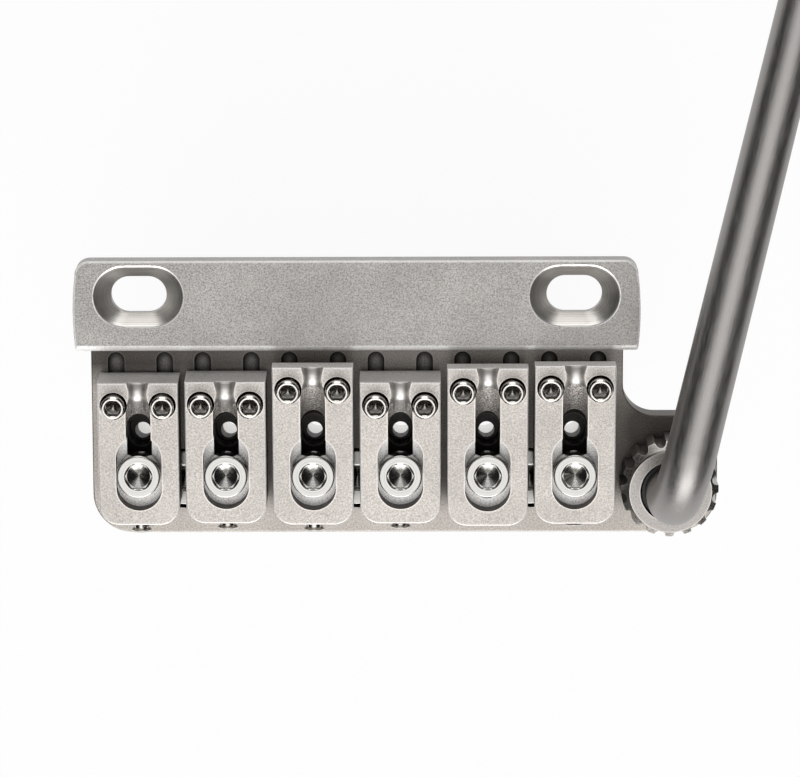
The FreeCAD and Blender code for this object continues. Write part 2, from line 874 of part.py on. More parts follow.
def block_screws():
    """Screws that hold the sustain block under the base plate."""
    head_z = size.plate_top - size.block_head_recess
    shank = size.block_screw_diameter / 2
    head = size.block_head_diameter / 2
    top = size.block_head_height
    length = size.plate_thickness - size.block_head_recess + size.block_screw_length - size.overrun
    screws = []
    for number in BLOCK_SCREWS:
        corners = [(0, -length), (shank, -length), (shank, 0), (head, 0), (head, top), (0, top)]
        screw = turned("block_screw", corners)
        socket(screw, size.block_head_hex, top, top / 2)
        screws.append(put(screw, block_screw_x(number), -size.block_screw_back, head_z))
    return group("block_screws", screws)


def saddle(string):
    """One saddle, drawn about the line at its heel on which it tips."""
    body = part_body(f"saddle_{string}")
    half = saddle_width / 2
    rear = -size.heel_radius
    front = saddle_length(string) - size.heel_radius
    corner = size.saddle_corner_radius
    outline = [
        (half, front),
        (-half, front),
        (-half, rear + corner),
        (corner - half, rear, corner - half, rear + corner, COUNTERCLOCKWISE),
        (half - corner, rear),
        (half, rear + corner, half - corner, rear + corner, COUNTERCLOCKWISE),
    ]
    pad(body, draw(body, "outline", "XY_Plane", [outline], lift=rear), size.saddle_thickness)
    round_edges(body, "edge_round", size.saddle_edge_round, lambda edge: lies_at(edge, saddle_top))
    shape_underside(body, rear, front, string in LONG_SADDLES)
    cut_saddle_pocket(body, rear)
    cut_crown(body, front)
    screw_y = front - size.height_screw_setback
    hole = size.height_screw_diameter / 2 + size.height_screw_play
    holes = [(sign * height_screw_x, screw_y, hole) for sign in SIDES]
    pocket(body, draw(body, "height_holes", "XY_Plane", circles=holes, lift=saddle_top))
    drill_intonation_hole(body, string, rear)
    return put(body, string_x(string), heel_y(string), heel_z, X_AXIS, numbered("tilt", string))


def shape_underside(body, rear, front, long):
    """The rounded heel that the saddle tips on and, on a long one, the undercut nose."""
    past = size.overrun
    heel = [
        (rear, 0),
        (0, rear, 0, 0, COUNTERCLOCKWISE),
        (0, rear - past),
        (rear - past, rear - past),
        (rear - past, 0),
    ]
    pocket(body, draw(body, "heel", "YZ_Plane", [heel]), both_ways=True)
    if long:
        nose_z = saddle_top - size.nose_height
        nose = [
            (front + past, nose_z),
            (front, nose_z),
            (front - size.nose_undercut, rear),
            (front - size.nose_undercut, rear - past),
            (front + past, rear - past),
        ]
        pocket(body, draw(body, "nose", "YZ_Plane", [nose]), both_ways=True)


def cut_saddle_pocket(body, rear):
    """The pocket for the lock screw's head, and the slot for its shank and the string."""
    low = rear + size.pocket_heel
    well = upright_obround(0, low, low + size.pocket_length, size.pocket_width)
    pocket(body, draw(body, "well", "XY_Plane", [well], lift=saddle_top), size.pocket_depth)
    low = rear + size.saddle_slot_heel
    slot = upright_obround(0, low, low + size.saddle_slot_length, size.saddle_slot_width)
    pocket(body, draw(body, "slot", "XY_Plane", [slot], lift=saddle_top))


def cut_crown(body, front):
    """The waisted groove in which the string breaks over the saddle, and the ramp behind it."""
    tube_radius = size.crown_tube_radius
    path = size.crown_path_radius
    apex_y = front - size.crown_setback
    apex_z = saddle_top + size.crown_rise
    centre_z = apex_z - path
    ring = [(0, apex_z, tube_radius)]
    section = draw(body, "crown", "XZ_Plane", circles=ring, lift=-apex_y, axis=(centre_z, path))
    crown = body.newObject("PartDesign::Groove", f"{body.Name}_crown_groove")
    crown.Profile = section
    crown.ReferenceAxis = (section, ["Axis0"])
    crown.Midplane = True
    bind(crown, "Angle", 2 * size.crown_angle)
    ramp_y = apex_y - path * sine(size.crown_angle)
    ramp_z = centre_z + path * cosine(size.crown_angle)
    lean = QUARTER_TURN + size.crown_angle
    bore(body, "ramp", tube_radius, size.saddle_thickness, y=ramp_y, z=ramp_z, axis=X_AXIS, angle=lean)
    open_ramp(body, ramp_y, ramp_z)


def open_ramp(body, ramp_y, ramp_z):
    """Opens the ramp upwards with straight walls, from the crown to the slot for the string."""
    width = size.saddle_slot_width
    end_y = size.saddle_slot_heel + size.saddle_slot_length - size.heel_radius - width / 2
    end_z = ramp_z - (ramp_y - end_y) * sine(size.crown_angle) / cosine(size.crown_angle)
    above = saddle_top + size.overrun
    channel = [(ramp_y, ramp_z), (end_y, end_z), (end_y, above), (ramp_y, above)]
    pocket(body, draw(body, "channel", "YZ_Plane", [channel]), width, both_ways=True)


def drill_intonation_hole(body, string, rear):
    """The hole for the intonation screw, which lies level though the saddle is tipped."""
    tilt = numbered("tilt", string)
    rise = size.plate_top + size.intonation_height - heel_z
    start = rear - size.overrun
    radius = size.intonation_diameter / 2 + size.intonation_play
    bore(
        body, "intonation_hole", radius, size.saddle_slot_heel + size.overrun * 2,
        y=start * cosine(tilt) + rise * sine(tilt),
        z=rise * cosine(tilt) - start * sine(tilt),
        axis=X_AXIS, angle=-(QUARTER_TURN + tilt),
    )


def height_screws(string):
    """The two screws that a saddle stands on, square to its top."""
    tilt = numbered("tilt", string)
    y = saddle_length(string) - size.heel_radius - size.height_screw_setback
    tip = (groove_floor + size.dog_clearance - heel_z - y * sine(tilt)) / cosine(tilt)
    length = saddle_top + size.height_screw_proud - tip
    radius = size.height_screw_diameter / 2
    dog = size.dog_diameter / 2
    chamfer = size.height_screw_chamfer
    corners = [
        (0, 0),
        (dog, 0),
        (dog, size.dog_length),
        (radius, size.dog_length + radius - dog),
        (radius, length - chamfer),
        (radius - chamfer, length),
        (0, length),
    ]
    screws = []
    for sign in SIDES:
        screw = turned(f"height_screw_{string}", corners)
        socket(screw, size.height_screw_hex, length, size.height_screw_diameter / 2)
        screws.append(put(
            screw,
            string_x(string) + sign * height_screw_x,
            heel_y(string) + y * cosine(tilt) - tip * sine(tilt),
            heel_z + y * sine(tilt) + tip * cosine(tilt),
            X_AXIS, tilt,
        ))
    return group(f"height_screws_{string}", screws)


def lock_screw(string):
    """The screw that clamps a saddle to the base plate."""
    tilt = numbered("tilt", string)
    reach = -size.lock_back - heel_y(string)
    floor = (saddle_top - size.pocket_depth + reach * sine(tilt)) / cosine(tilt)
    under_head = heel_z + floor + size.lock_head_clearance
    bottom = plate_bottom + size.saddle_clearance
    shank = size.lock_diameter / 2
    head = size.lock_head_diameter / 2
    chamfer = size.lock_head_chamfer
    top = under_head + size.lock_head_height
    corners = [
        (0, bottom),
        (shank, bottom),
        (shank, under_head),
        (head, under_head),
        (head, top - chamfer),
        (head - chamfer, top),
        (0, top),
    ]
    screw = turned(f"lock_screw_{string}", corners)
    socket(screw, size.lock_hex, top, size.lock_head_height / 2)
    return put(screw, string_x(string), -size.lock_back, 0)


def intonation_screw(string):
    """The grub screw through a saddle's heel that bears on the lock screw and sets the string's length."""
    radius = size.intonation_diameter / 2
    tip = size.lock_back + size.lock_diameter / 2 + size.intonation_tip_gap
    end = size.saddle_back + numbered("setback", string) + numbered("intonation_proud", string)
    length = end - tip
    chamfer = size.height_screw_chamfer
    corners = [
        (0, 0),
        (radius - chamfer, 0),
        (radius, chamfer),
        (radius, length - chamfer),
        (radius - chamfer, length),
        (0, length),
    ]
    screw = turned(f"intonation_screw_{string}", corners)
    socket(screw, size.intonation_hex, length, radius)
    height = size.plate_top + size.intonation_height
    return put(screw, string_x(string), -tip, height, X_AXIS, QUARTER_TURN)


def arm_bushing():
    """The split bush in the base plate's ear. The nut closes its slit end on the arm's sleeve."""
    flange = size.bushing_flange_diameter / 2
    flange_z = plate_bottom - size.bushing_flange_height
    corners = [
        (bushing_bore, bushing_bottom),
        (bushing_radius, bushing_bottom),
        (bushing_radius, flange_z),
        (flange, flange_z),
        (flange, plate_bottom),
        (bushing_radius, plate_bottom),
        (bushing_radius, bushing_top),
        (bushing_bore, bushing_top),
    ]
    body = turned("arm_bushing", corners)
    half = size.bushing_slit / 2
    past = bushing_radius + size.overrun
    for name, wide, deep in (("slit_along", half, past), ("slit_across", past, half)):
        slit = [(-wide, -deep), (wide, -deep), (wide, deep), (-wide, deep)]
        pocket(body, draw(body, name, "XY_Plane", [slit], lift=bushing_top), size.bushing_slit_depth)
    return put(body, arm_x, -size.arm_back, 0)


def arm_sleeve():
    """The plastic sleeve that the arm pushes into."""
    sleeve = tube("arm_sleeve", sleeve_bore, sleeve_radius, bushing_bottom, nut_top - size.sleeve_proud)
    return put(sleeve, arm_x, -size.arm_back, 0)


def tension_nut():
    """The knurled nut on the bushing that sets how stiffly the arm swings."""
    root = size.nut_root_diameter / 2
    collar = size.nut_collar_diameter / 2
    corners = [
        (0, nut_bottom),
        (root, nut_bottom),
        (root, nut_shoulder),
        (collar, nut_shoulder),
        (collar, nut_top),
        (0, nut_top),
    ]
    body = turned("tension_nut", corners)
    half = size.nut_lobe_width / 2
    tip = size.nut_diameter / 2 - half
    inner = collar - half
    lobe = [(tip, -half), (tip, half, tip, 0, COUNTERCLOCKWISE), (inner, half), (inner, -half)]
    first = pad(body, draw(body, "lobe", "XY_Plane", [lobe], lift=nut_bottom), size.nut_height)
    lobes = body.newObject("PartDesign::PolarPattern", "tension_nut_lobes")
    lobes.Originals = [first]
    lobes.Axis = (origin_plane(body, "Z_Axis"), [""])
    lobes.Angle = FULL_TURN
    lobes.Occurrences = NUT_LOBES
    body.Tip = lobes
    thread = [(0, 0, bushing_radius + size.nut_thread_fit)]
    room = bushing_top - nut_bottom + size.nut_clearance
    pocket(body, draw(body, "thread", "XY_Plane", circles=thread, lift=nut_bottom), room, upwards=True)
    mouth = [(0, 0, size.nut_mouth_diameter / 2)]
    pocket(body, draw(body, "mouth", "XY_Plane", circles=mouth, lift=nut_top))
    return put(body, arm_x, -size.arm_back, 0)


def tremolo_arm():
    """The arm: a straight post, a bend and a long tapered bar with a domed end."""
    radius = size.arm_diameter / 2
    tip_radius = size.arm_tip_diameter / 2
    bend = size.arm_bend_radius
    angle = size.arm_bend_angle
    bend_z = nut_top + size.arm_bend_lift
    post = doc.addObject("Part::Cylinder", "arm_post")
    bind(post, "Radius", radius)
    bind(post, "Height", bend_z - bushing_bottom)
    put(post, z=bushing_bottom)
    elbow = doc.addObject("Part::Torus", "arm_elbow")
    on_edge = FreeCAD.Rotation(-Y_AXIS, Z_AXIS, -X_AXIS, "ZXY")
    elbow.Placement = FreeCAD.Placement(FreeCAD.Vector(), on_edge)
    bind(elbow, "Radius1", bend)
    bind(elbow, "Radius2", radius)
    bind(elbow, "Angle3", angle)
    put(elbow, y=bend, z=bend_z)
    bar_y = bend - bend * cosine(angle)
    bar_z = bend_z + bend * sine(angle)
    bar = doc.addObject("Part::Cone", "arm_bar")
    bind(bar, "Radius1", radius)
    bind(bar, "Radius2", tip_radius)
    bind(bar, "Height", size.arm_straight)
    put(bar, y=bar_y, z=bar_z, axis=X_AXIS, angle=-angle)
    dome = doc.addObject("Part::Sphere", "arm_dome")
    bind(dome, "Radius", tip_radius)
    put(dome, y=bar_y + size.arm_straight * sine(angle), z=bar_z + size.arm_straight * cosine(angle))
    arm = doc.addObject("Part::MultiFuse", "tremolo_arm")
    arm.Label = "tremolo_arm"
    arm.Shapes = [post, elbow, bar, dome]
    return put(arm, arm_x, -size.arm_back, 0, Z_AXIS, -size.arm_heading)


def check_document():
    """Stops if any object failed, or if a cut took nothing away."""
    for feature in doc.Objects:
        if {"Invalid", "Error"} & set(feature.State):
            raise RuntimeError(f"{feature.Name} failed: {feature.State}")
        if feature.TypeId in ("PartDesign::Pocket", "PartDesign::Groove", "PartDesign::SubtractiveCylinder"):
            if feature.Shape.Volume >= feature.BaseFeature.Shape.Volume:
                raise RuntimeError(f"{feature.Name} cuts nothing")


def write_parts(pieces):
    """Writes each piece's solids to a file of its own."""
    for piece in pieces:
        if piece.Shape.isNull() or not piece.Shape.isValid() or not piece.Shape.Solids:
            raise RuntimeError(f"{piece.Label} has no valid solid")
    os.makedirs("parts", exist_ok=True)
    for piece in pieces:
        piece.Shape.exportStep(f"parts/{piece.Label}.step")


nodes = [mounting_plate(), hinge_axle(), axle_grub_screws(), *hinge_bearings(), hinge_shims()]
nodes += [base_plate(), sustain_block(), block_screws()]
for make in (saddle, height_screws, lock_screw, intonation_screw):
    nodes += [make(number) for number in STRINGS]
nodes += [arm_bushing(), arm_sleeve(), tension_nut(), tremolo_arm()]
doc.recompute()
check_document()
write_parts(nodes)
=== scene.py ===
import json
import math

import bmesh
import bpy
from bpy.props import FloatProperty, FloatVectorProperty, IntProperty, PointerProperty
from mathutils import Matrix, Vector

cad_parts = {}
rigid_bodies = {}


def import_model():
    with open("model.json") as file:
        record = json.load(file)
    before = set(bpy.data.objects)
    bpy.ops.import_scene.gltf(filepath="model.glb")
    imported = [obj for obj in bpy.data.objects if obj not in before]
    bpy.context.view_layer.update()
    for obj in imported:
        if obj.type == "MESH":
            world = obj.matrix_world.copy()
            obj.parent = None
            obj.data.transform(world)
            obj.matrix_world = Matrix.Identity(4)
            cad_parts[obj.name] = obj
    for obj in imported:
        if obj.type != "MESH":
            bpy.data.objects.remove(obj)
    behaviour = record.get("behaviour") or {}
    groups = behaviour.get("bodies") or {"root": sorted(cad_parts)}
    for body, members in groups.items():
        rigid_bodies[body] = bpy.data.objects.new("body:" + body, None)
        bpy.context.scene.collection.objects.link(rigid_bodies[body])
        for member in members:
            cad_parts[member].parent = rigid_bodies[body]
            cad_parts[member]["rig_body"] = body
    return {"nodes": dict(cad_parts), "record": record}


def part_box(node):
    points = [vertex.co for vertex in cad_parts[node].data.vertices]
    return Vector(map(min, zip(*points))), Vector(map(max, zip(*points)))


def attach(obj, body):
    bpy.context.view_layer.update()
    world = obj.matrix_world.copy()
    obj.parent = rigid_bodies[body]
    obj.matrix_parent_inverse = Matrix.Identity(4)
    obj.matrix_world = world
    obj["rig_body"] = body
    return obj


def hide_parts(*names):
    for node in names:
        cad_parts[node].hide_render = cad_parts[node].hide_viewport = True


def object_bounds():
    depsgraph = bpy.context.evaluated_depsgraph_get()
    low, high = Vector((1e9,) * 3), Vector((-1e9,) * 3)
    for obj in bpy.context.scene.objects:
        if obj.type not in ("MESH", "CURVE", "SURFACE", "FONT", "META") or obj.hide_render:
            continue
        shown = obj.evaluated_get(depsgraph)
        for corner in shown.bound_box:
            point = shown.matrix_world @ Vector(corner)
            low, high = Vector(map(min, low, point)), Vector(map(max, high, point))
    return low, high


bl_info = {
    "name": "Tremolo bridge looks",
    "version": (1, 0, 0),
    "blender": (4, 5, 0),
    "location": "View3D > Sidebar > Bridge",
    "description": "Dresses a guitar tremolo bridge: steel finishes, threads, a knurled nut and a studio",
    "category": "Object",
}

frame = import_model()
cad_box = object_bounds()

# Everything is in metres and in the bridge's own frame: +X to the treble side, +Y to the neck, +Z up.
STRINGS = range(1, 7)
HEX_SIDES = 6
HEX_TURN = 2 * math.pi / HEX_SIDES
MILLIMETRE = 0.001
MERGE_DISTANCE = 1e-7
SHARP_ANGLE = math.radians(28)
CAP_SCREW_ROUGH = 0.14
NOISE_SPAN = (0.3, 0.7)
AXIS_DISTANCE = "axis_distance"
UPRIGHT = Matrix.Identity(3)
REARWARD = Matrix.Rotation(math.radians(90), 3, "X")

# The least rise of a level face's normal, and a thread's flat crest and sunk root as shares of its pitch.
LEVEL_RISE = 0.9
THREAD_FLAT_SHARE = 1 / 8
THREAD_SUNK_SHARE = 1 / 10

# How much of its colour a finish keeps under painted shade in a closed recess, and has under a painted
# highlight on an edge.
RECESS_SHADE_SHARE = 0.1
EDGE_HIGHLIGHT_SHARE = 1.9

# How much of the plate's colour the painted shade on its front covers, and how much of that shade's colour
# the painted shade in the string slots has.
FRONT_SHADE_COVER = 0.9
SLOT_SHADE_SHARE = 0.1

# How strongly the broad clouds show beside the fine grain, and how deep a pit is for its width.
CLOUD_SHARE = 1 / 5
PIT_SHARE = 1 / 4


def length(label, description, default):
    """A size in metres that a user may change."""
    return FloatProperty(name=label, description=description, default=default, unit="LENGTH", precision=5)


def colour(label, description, default):
    return FloatVectorProperty(
        name=label, description=description, default=default, subtype="COLOR", size=3, min=0, max=1,
    )


def location(label, description, default):
    return FloatVectorProperty(
        name=label, description=description, default=default, subtype="TRANSLATION", size=3, precision=4,
    )


def angle(label, description, degrees):
    return FloatProperty(name=label, description=description, default=math.radians(degrees), subtype="ANGLE")


def number(label, description, default, **options):
    return FloatProperty(name=label, description=description, default=default, **options)


def pair(label, description, default):
    return FloatVectorProperty(name=label, description=description, default=default, size=2)


def count(label, description, default, least):
    return IntProperty(name=label, description=description, default=default, min=least)


class ScrewSizes(bpy.types.PropertyGroup):
    """Sizes of the screws that the frame doesn't give."""

    steps: count("Steps", "Corners of a turned ring", 48, 12)
    thread_steps: count("Thread steps", "Corners of one thread turn", 20, 8)
    thread_pitch: length("Thread pitch", "Rise of one turn of a thread", 0.0005)
    thread_depth: length("Thread depth", "From a thread's crest to its root", 0.00028)
    edge_round: length("Edge round", "Rounding of a turned edge", 0.00012)
    chamfer: length("Chamfer", "Width of the cone round a headless screw's top", 0.00022)
    socket_lead: length("Socket lead", "Depth of the cone that leads into a socket", 0.00012)
    socket_floor_share: number("Socket floor", "Drill point's radius as a share of half the width", 0.97)
    cone_shares: pair("Cone rings", "Radii of the rings that keep the drill point straight", (0.12, 0.05))
    drill_cone_share: number("Drill cone", "Drill point's depth as a share of the socket's width", 0.3)
    height_socket: length("Height screw socket", "Across flats", 0.0019)
    height_socket_depth: length("Height socket depth", "Depth of its flats", 0.0012)
    height_plain: length("Height screw top", "Plain length below the top", 0.0009)
    height_dog: length("Height screw dog", "Length of the plain tip", 0.0014)
    height_dog_radius: length("Height screw dog radius", "Radius of the plain tip", 0.00095)
    lock_socket: length("Lock screw socket", "Across flats", 0.003)
    lock_socket_depth: length("Lock socket depth", "Depth of its flats", 0.0005)
    lock_head: length("Lock screw head", "Height of the head", 0.003)
    lock_shank: length("Lock screw shank", "Radius of the shank", 0.0015)
    intonation_socket: length("Intonation screw socket", "Across flats", 0.0013)
    intonation_socket_depth: length("Intonation socket depth", "Depth of its flats", 0.0009)
    intonation_plain: length("Intonation screw top", "Plain length below the top", 0.0)
    block_socket: length("Block screw socket", "Across flats", 0.003)
    block_socket_depth: length("Block socket depth", "Depth of its flats", 0.0012)
    block_head: length("Block screw head", "Height of the head", 0.0022)
    block_shank: length("Block screw shank", "Radius of the shank", 0.002)


class SaddleSizes(bpy.types.PropertyGroup):
    """Sizes of the saddles' finished regions."""

    crown_length: length("Crown length", "How far back from the front the polished groove reaches", 0.0034)
    crown_half_width: length("Crown half width", "Half the width of the polished groove", 0.0018)
    crown_slope: number("Crown slope", "Least rise of a polished face", 0.15)
    skin: length("Skin", "How far below the top a face counts as inside a cut", 0.00008)
    rim: length("Rim", "How far below the top the outline with a painted highlight reaches", 0.00022)
    wall_inset: length("Wall inset", "How far inside the outline a wall counts as cut", 0.0006)
    rim_slopes: pair("Rim slopes", "Least and greatest rise of an outline with a painted highlight", (0.05, 0.97))


class SlotSizes(bpy.types.PropertyGroup):
    """Sizes of the countersinks in the mounting plate and the grooves in the base plate."""

    spacing: length("Spacing", "Between the middles of the two mounting slots", 0.054)
    straight: length("Straight", "Half the length of a countersink's straight sides", 0.0018)
    reach: length("Reach", "From a slot's middle line to just outside the countersink", 0.0047)
    slope_shares: pair("Slopes", "Least and greatest rise of a machined face", (0.1, 0.985))
    groove_depth: length("Groove depth", "Depth of the height screws' grooves", 0.001)


class NutSizes(bpy.types.PropertyGroup):
    """Sizes of the knurled tension nut."""

    teeth: count("Teeth", "Teeth round the nut", 16, 6)
    tooth_steps: count("Tooth steps", "Corners of one tooth", 20, 8)
    flute: length("Flute radius", "Radius of the round flutes between the teeth", 0.0007)
    collar: length("Collar radius", "Radius of the collar on top", 0.0051)
    collar_height: length("Collar height", "Height of the collar", 0.0013)
    shoulder_drop: length("Shoulder drop", "How far the cone round the collar falls to the teeth", 0.0007)
    mouth: length("Mouth radius", "Radius of the hole that the arm goes through", 0.00375)
    thread: length("Thread radius", "Radius of the threaded bore", 0.00455)
    thread_height: length("Thread height", "Depth of the threaded bore", 0.0059)


class Colours(bpy.types.PropertyGroup):
    """Base colours of the finishes."""

    mount: colour("Mounting plate", "Blasted steel", (0.36, 0.345, 0.33))
    # Painted highlight: the mounting plate's rounded edges and leaning faces get this brighter colour.
    plate_rim: colour("Plate edges", "Painted light, brighter than the steel", (0.93, 0.91, 0.88))
    slot: colour("Slots", "Machined steel", (0.74, 0.72, 0.69))
    # Painted shade: a dark brown that the base plate takes in front of the saddles and round the arm's
    # socket.
    front_shade: colour("Front Shade", "Painted shade on the base plate", (0.046, 0.039, 0.034))
    # Painted shade: the grooves' floors get this dark colour.
    groove: colour("Grooves", "Floor of the height screws' grooves", (0.20, 0.19, 0.18))
    base: colour("Base plate", "Blasted steel, a little browner", (0.48, 0.446, 0.412))
    saddle: colour("Saddles", "Pale blasted steel", (0.515, 0.483, 0.452))
    # Painted light: the saddles' outlines, front faces and pocket floors get this brighter colour.
    rim: colour("Saddle outlines", "Painted light, brighter than the steel", (0.92, 0.89, 0.86))
    # Painted shade: the walls inside the saddles' slots and pockets get this dark colour.
    wall: colour("Saddle walls", "Walls of the slots and pockets", (0.11, 0.102, 0.095))
    crown: colour("Crown", "Polished groove of a saddle", (0.66, 0.64, 0.615))
    screw: colour("Small screws", "Polished steel", (0.64, 0.615, 0.58))
    cap_screw: colour("Cap screws", "Polished steel", (0.48, 0.47, 0.45))
    block: colour("Sustain block", "Ground steel", (0.42, 0.405, 0.385))
    nut: colour("Tension nut", "Blasted steel", (0.36, 0.34, 0.32))
    arm: colour("Arm", "Satin steel", (0.33, 0.315, 0.305))
    hinge: colour("Hinge", "Bearing steel", (0.58, 0.57, 0.56))
    sleeve: colour("Sleeve", "Black plastic", (0.012, 0.012, 0.013))
    backdrop: colour("Backdrop", "Floor and background", (1.0, 1.0, 1.0))
    flag: colour("Flags", "Black cards beside the bridge", (0.01, 0.01, 0.01))


class Studio(bpy.types.PropertyGroup):
    """Camera, lamps and floor."""

    aim: location("Aim", "Point that the camera looks at", (0, -0.012, 0.0023))
    lean_to_neck: angle("Lean to the neck", "Camera's lean from overhead towards the neck", 11.139)
    lean_to_side: angle("Lean to the side", "Camera's lean towards the bass side", -0.778)
    roll: angle("Roll", "Camera's turn about its own axis", 0.121)
    distance: length("Distance", "From the camera to its aim", 0.540)
    lens: number("Lens", "Focal length", 195.6, unit="CAMERA")
    shift_x: number("Shift X", "Share of the image's width", 0.0540)
    shift_y: number("Shift Y", "Share of the image's width", 0.0025)
    floor_reach: length("Floor reach", "Half the width of the floor", 6.0)
    world_strength: number("Surround", "Brightness of the surround", 0.35)
    key_strength: number("Overhead", "Radiance of the overhead softbox", 1.3)
    key_place: location("Overhead place", "Middle of the overhead softbox", (-0.02, -0.28, 0.65))
    key_across: length("Overhead width", "Width of the overhead softbox", 0.66)
    key_along: length("Overhead length", "Length of the overhead softbox", 0.9)
    neck_strength: number("Neck side", "Radiance of the neck side's softbox", 1.5)
    neck_place: location("Neck side place", "Middle of the neck side's softbox", (0.0, 0.8, 0.3))
    neck_across: length("Neck side width", "Width of the neck side's softbox", 0.6)
    neck_along: length("Neck side height", "Height of the neck side's softbox", 0.6)
    rear_strength: number("Rear", "Radiance of the rear softbox", 3.2)
    rear_place: location("Rear place", "Middle of the rear softbox", (0.0, -0.8, 0.42))
    rear_across: length("Rear width", "Width of the rear softbox", 0.7)
    rear_along: length("Rear height", "Height of the rear softbox", 0.5)
    flag_reach: length("Flag reach", "How far out the black flags stand", 0.45)
    flag_half_length: length("Flag half length", "Half the length of a black flag", 0.7)
    bass_flag_top: length("Bass flag top", "Height of the black flag on the bass side", 0.45)
    treble_flag_top: length("Treble flag top", "Height of the black flag on the treble side", 0.55)
    shadow_share: number(
        "Shadow", "Share of the floor's look that takes shadows", 0.06, subtype="FACTOR", min=0, max=1,
    )


SETTINGS = {
    "bridge_screws": ScrewSizes,
    "bridge_saddles": SaddleSizes,
    "bridge_slots": SlotSizes,
    "bridge_nut": NutSizes,
    "bridge_colours": Colours,
    "bridge_studio": Studio,
}


# Shader node groups and materials


class Wiring:
    """Adds nodes to a tree and joins their sockets."""

    # A Mix node has sockets for each kind of data: these are for its factor and its colours.
    COLOUR_MIX_INPUTS = (0, 6, 7)
    COLOUR_MIX_OUTPUT = 2

    def __init__(self, tree):
        self.tree = tree

    def add(self, kind, inputs=None, **settings):
        node = self.tree.nodes.new(kind)
        for name, value in settings.items():
            setattr(node, name, value)
        self.feed(node, inputs or {})
        return node

    def feed(self, node, inputs):
        """Links or sets a node's inputs."""
        for socket, value in inputs.items():
            if isinstance(value, bpy.types.NodeSocket):
                self.tree.links.new(value, node.inputs[socket])
            else:
                node.inputs[socket].default_value = value

    def math(self, operation, first, second=0.0, clamp=False):
        node = self.add("ShaderNodeMath", {0: first, 1: second}, operation=operation, use_clamp=clamp)
        return node.outputs[0]

    def spread(self, value, low, high, start=0.0, stop=1.0):
        """A value from a start and stop spread between two others."""
        ends = {"From Min": start, "From Max": stop, "To Min": low, "To Max": high}
        return self.add("ShaderNodeMapRange", {"Value": value, **ends}).outputs["Result"]

    def tint(self, shade, tone):
        """A colour times a tone."""
        node = self.add("ShaderNodeVectorMath", {0: tuple(shade), "Scale": tone}, operation="SCALE")
        return node.outputs["Vector"]

    def blend(self, factor, first, second):
        """A mix of two colours, each given or from a socket."""
        sockets = dict(zip(self.COLOUR_MIX_INPUTS, (factor, first, second)))
        return self.add("ShaderNodeMix", sockets, data_type="RGBA").outputs[self.COLOUR_MIX_OUTPUT]

    def object_coordinates(self):
        return self.add("ShaderNodeTexCoord").outputs["Object"]


def node_group(name, inputs, outputs):
    """A shared effect: the new group's wiring, its input node and its output node."""
    tree = bpy.data.node_groups.new(name, "ShaderNodeTree")
    for label, default in inputs.items():
        socket = tree.interface.new_socket(name=label, in_out="INPUT", socket_type="NodeSocketFloat")
        socket.default_value = default
    for label, kind in outputs.items():
        tree.interface.new_socket(name=label, in_out="OUTPUT", socket_type=kind)
    wiring = Wiring(tree)
    return wiring, wiring.add("NodeGroupInput").outputs, wiring.add("NodeGroupOutput")


def blasted_grain():
    """Fine pits left by bead blasting, with broader clouds among them."""
    wiring, given, result = node_group(
        "Blasted grain",
        {"Grain Size": 0.0002, "Cloud Size": 0.006},
        {"Grain": "NodeSocketFloat", "Cloud": "NodeSocketFloat"},
    )
    place = wiring.object_coordinates()
    for size, output, detail in (("Grain Size", "Grain", 3.0), ("Cloud Size", "Cloud", 4.0)):
        scale = wiring.math("DIVIDE", 1.0, given[size])
        noise = wiring.add("ShaderNodeTexNoise", {"Vector": place, "Scale": scale, "Detail": detail})
        wiring.feed(result, {output: noise.outputs["Fac"]})
    return wiring.tree


def rounded_edges_and_highlight():
    """Edges rounded in the shading, with a mask for a painted highlight along them."""
    wiring, given, result = node_group(
        "Rounded edges and painted highlight",
        {"Width": 0.0002, "Gain": 6.0},
        {"Edge": "NodeSocketFloat", "Normal": "NodeSocketVector"},
    )
    rounded = wiring.add("ShaderNodeBevel", {"Radius": given["Width"]}, samples=6)
    surface = wiring.add("ShaderNodeNewGeometry")
    agreement = wiring.add(
        "ShaderNodeVectorMath",
        {0: rounded.outputs["Normal"], 1: surface.outputs["Normal"]},
        operation="DOT_PRODUCT",
    )
    turn = wiring.math("SUBTRACT", 1.0, agreement.outputs["Value"])
    edge = wiring.math("MULTIPLY", turn, given["Gain"], clamp=True)
    wiring.feed(result, {"Edge": edge, "Normal": rounded.outputs["Normal"]})
    return wiring.tree


def painted_recess_shade():
    """How open a place is to the light, for painted shade that darkens a finish where it is closed in."""
    wiring, given, result = node_group(
        "Painted recess shade", {"Reach": 0.004, "Closed": 0.0, "Open": 0.7}, {"Openness": "NodeSocketFloat"},
    )
    clear = wiring.add("ShaderNodeAmbientOcclusion", {"Distance": given["Reach"]}, samples=8).outputs["AO"]
    openness = wiring.spread(clear, 0.0, 1.0, given["Closed"], given["Open"])
    wiring.feed(result, {"Openness": openness})
    return wiring.tree


def turned_marks():
    """Rings that a lathe leaves round a piece's axis."""
    wiring, given, result = node_group(
        "Turned marks", {"Mark Size": 0.00012}, {"Marks": "NodeSocketFloat"},
    )
    distance = wiring.add("ShaderNodeAttribute", attribute_name=AXIS_DISTANCE).outputs["Fac"]
    along = wiring.math("DIVIDE", distance, given["Mark Size"])
    noise = wiring.add("ShaderNodeTexNoise", {"W": along, "Scale": 1.0, "Detail": 2.0}, noise_dimensions="1D")
    wiring.feed(result, {"Marks": noise.outputs["Fac"]})
    return wiring.tree


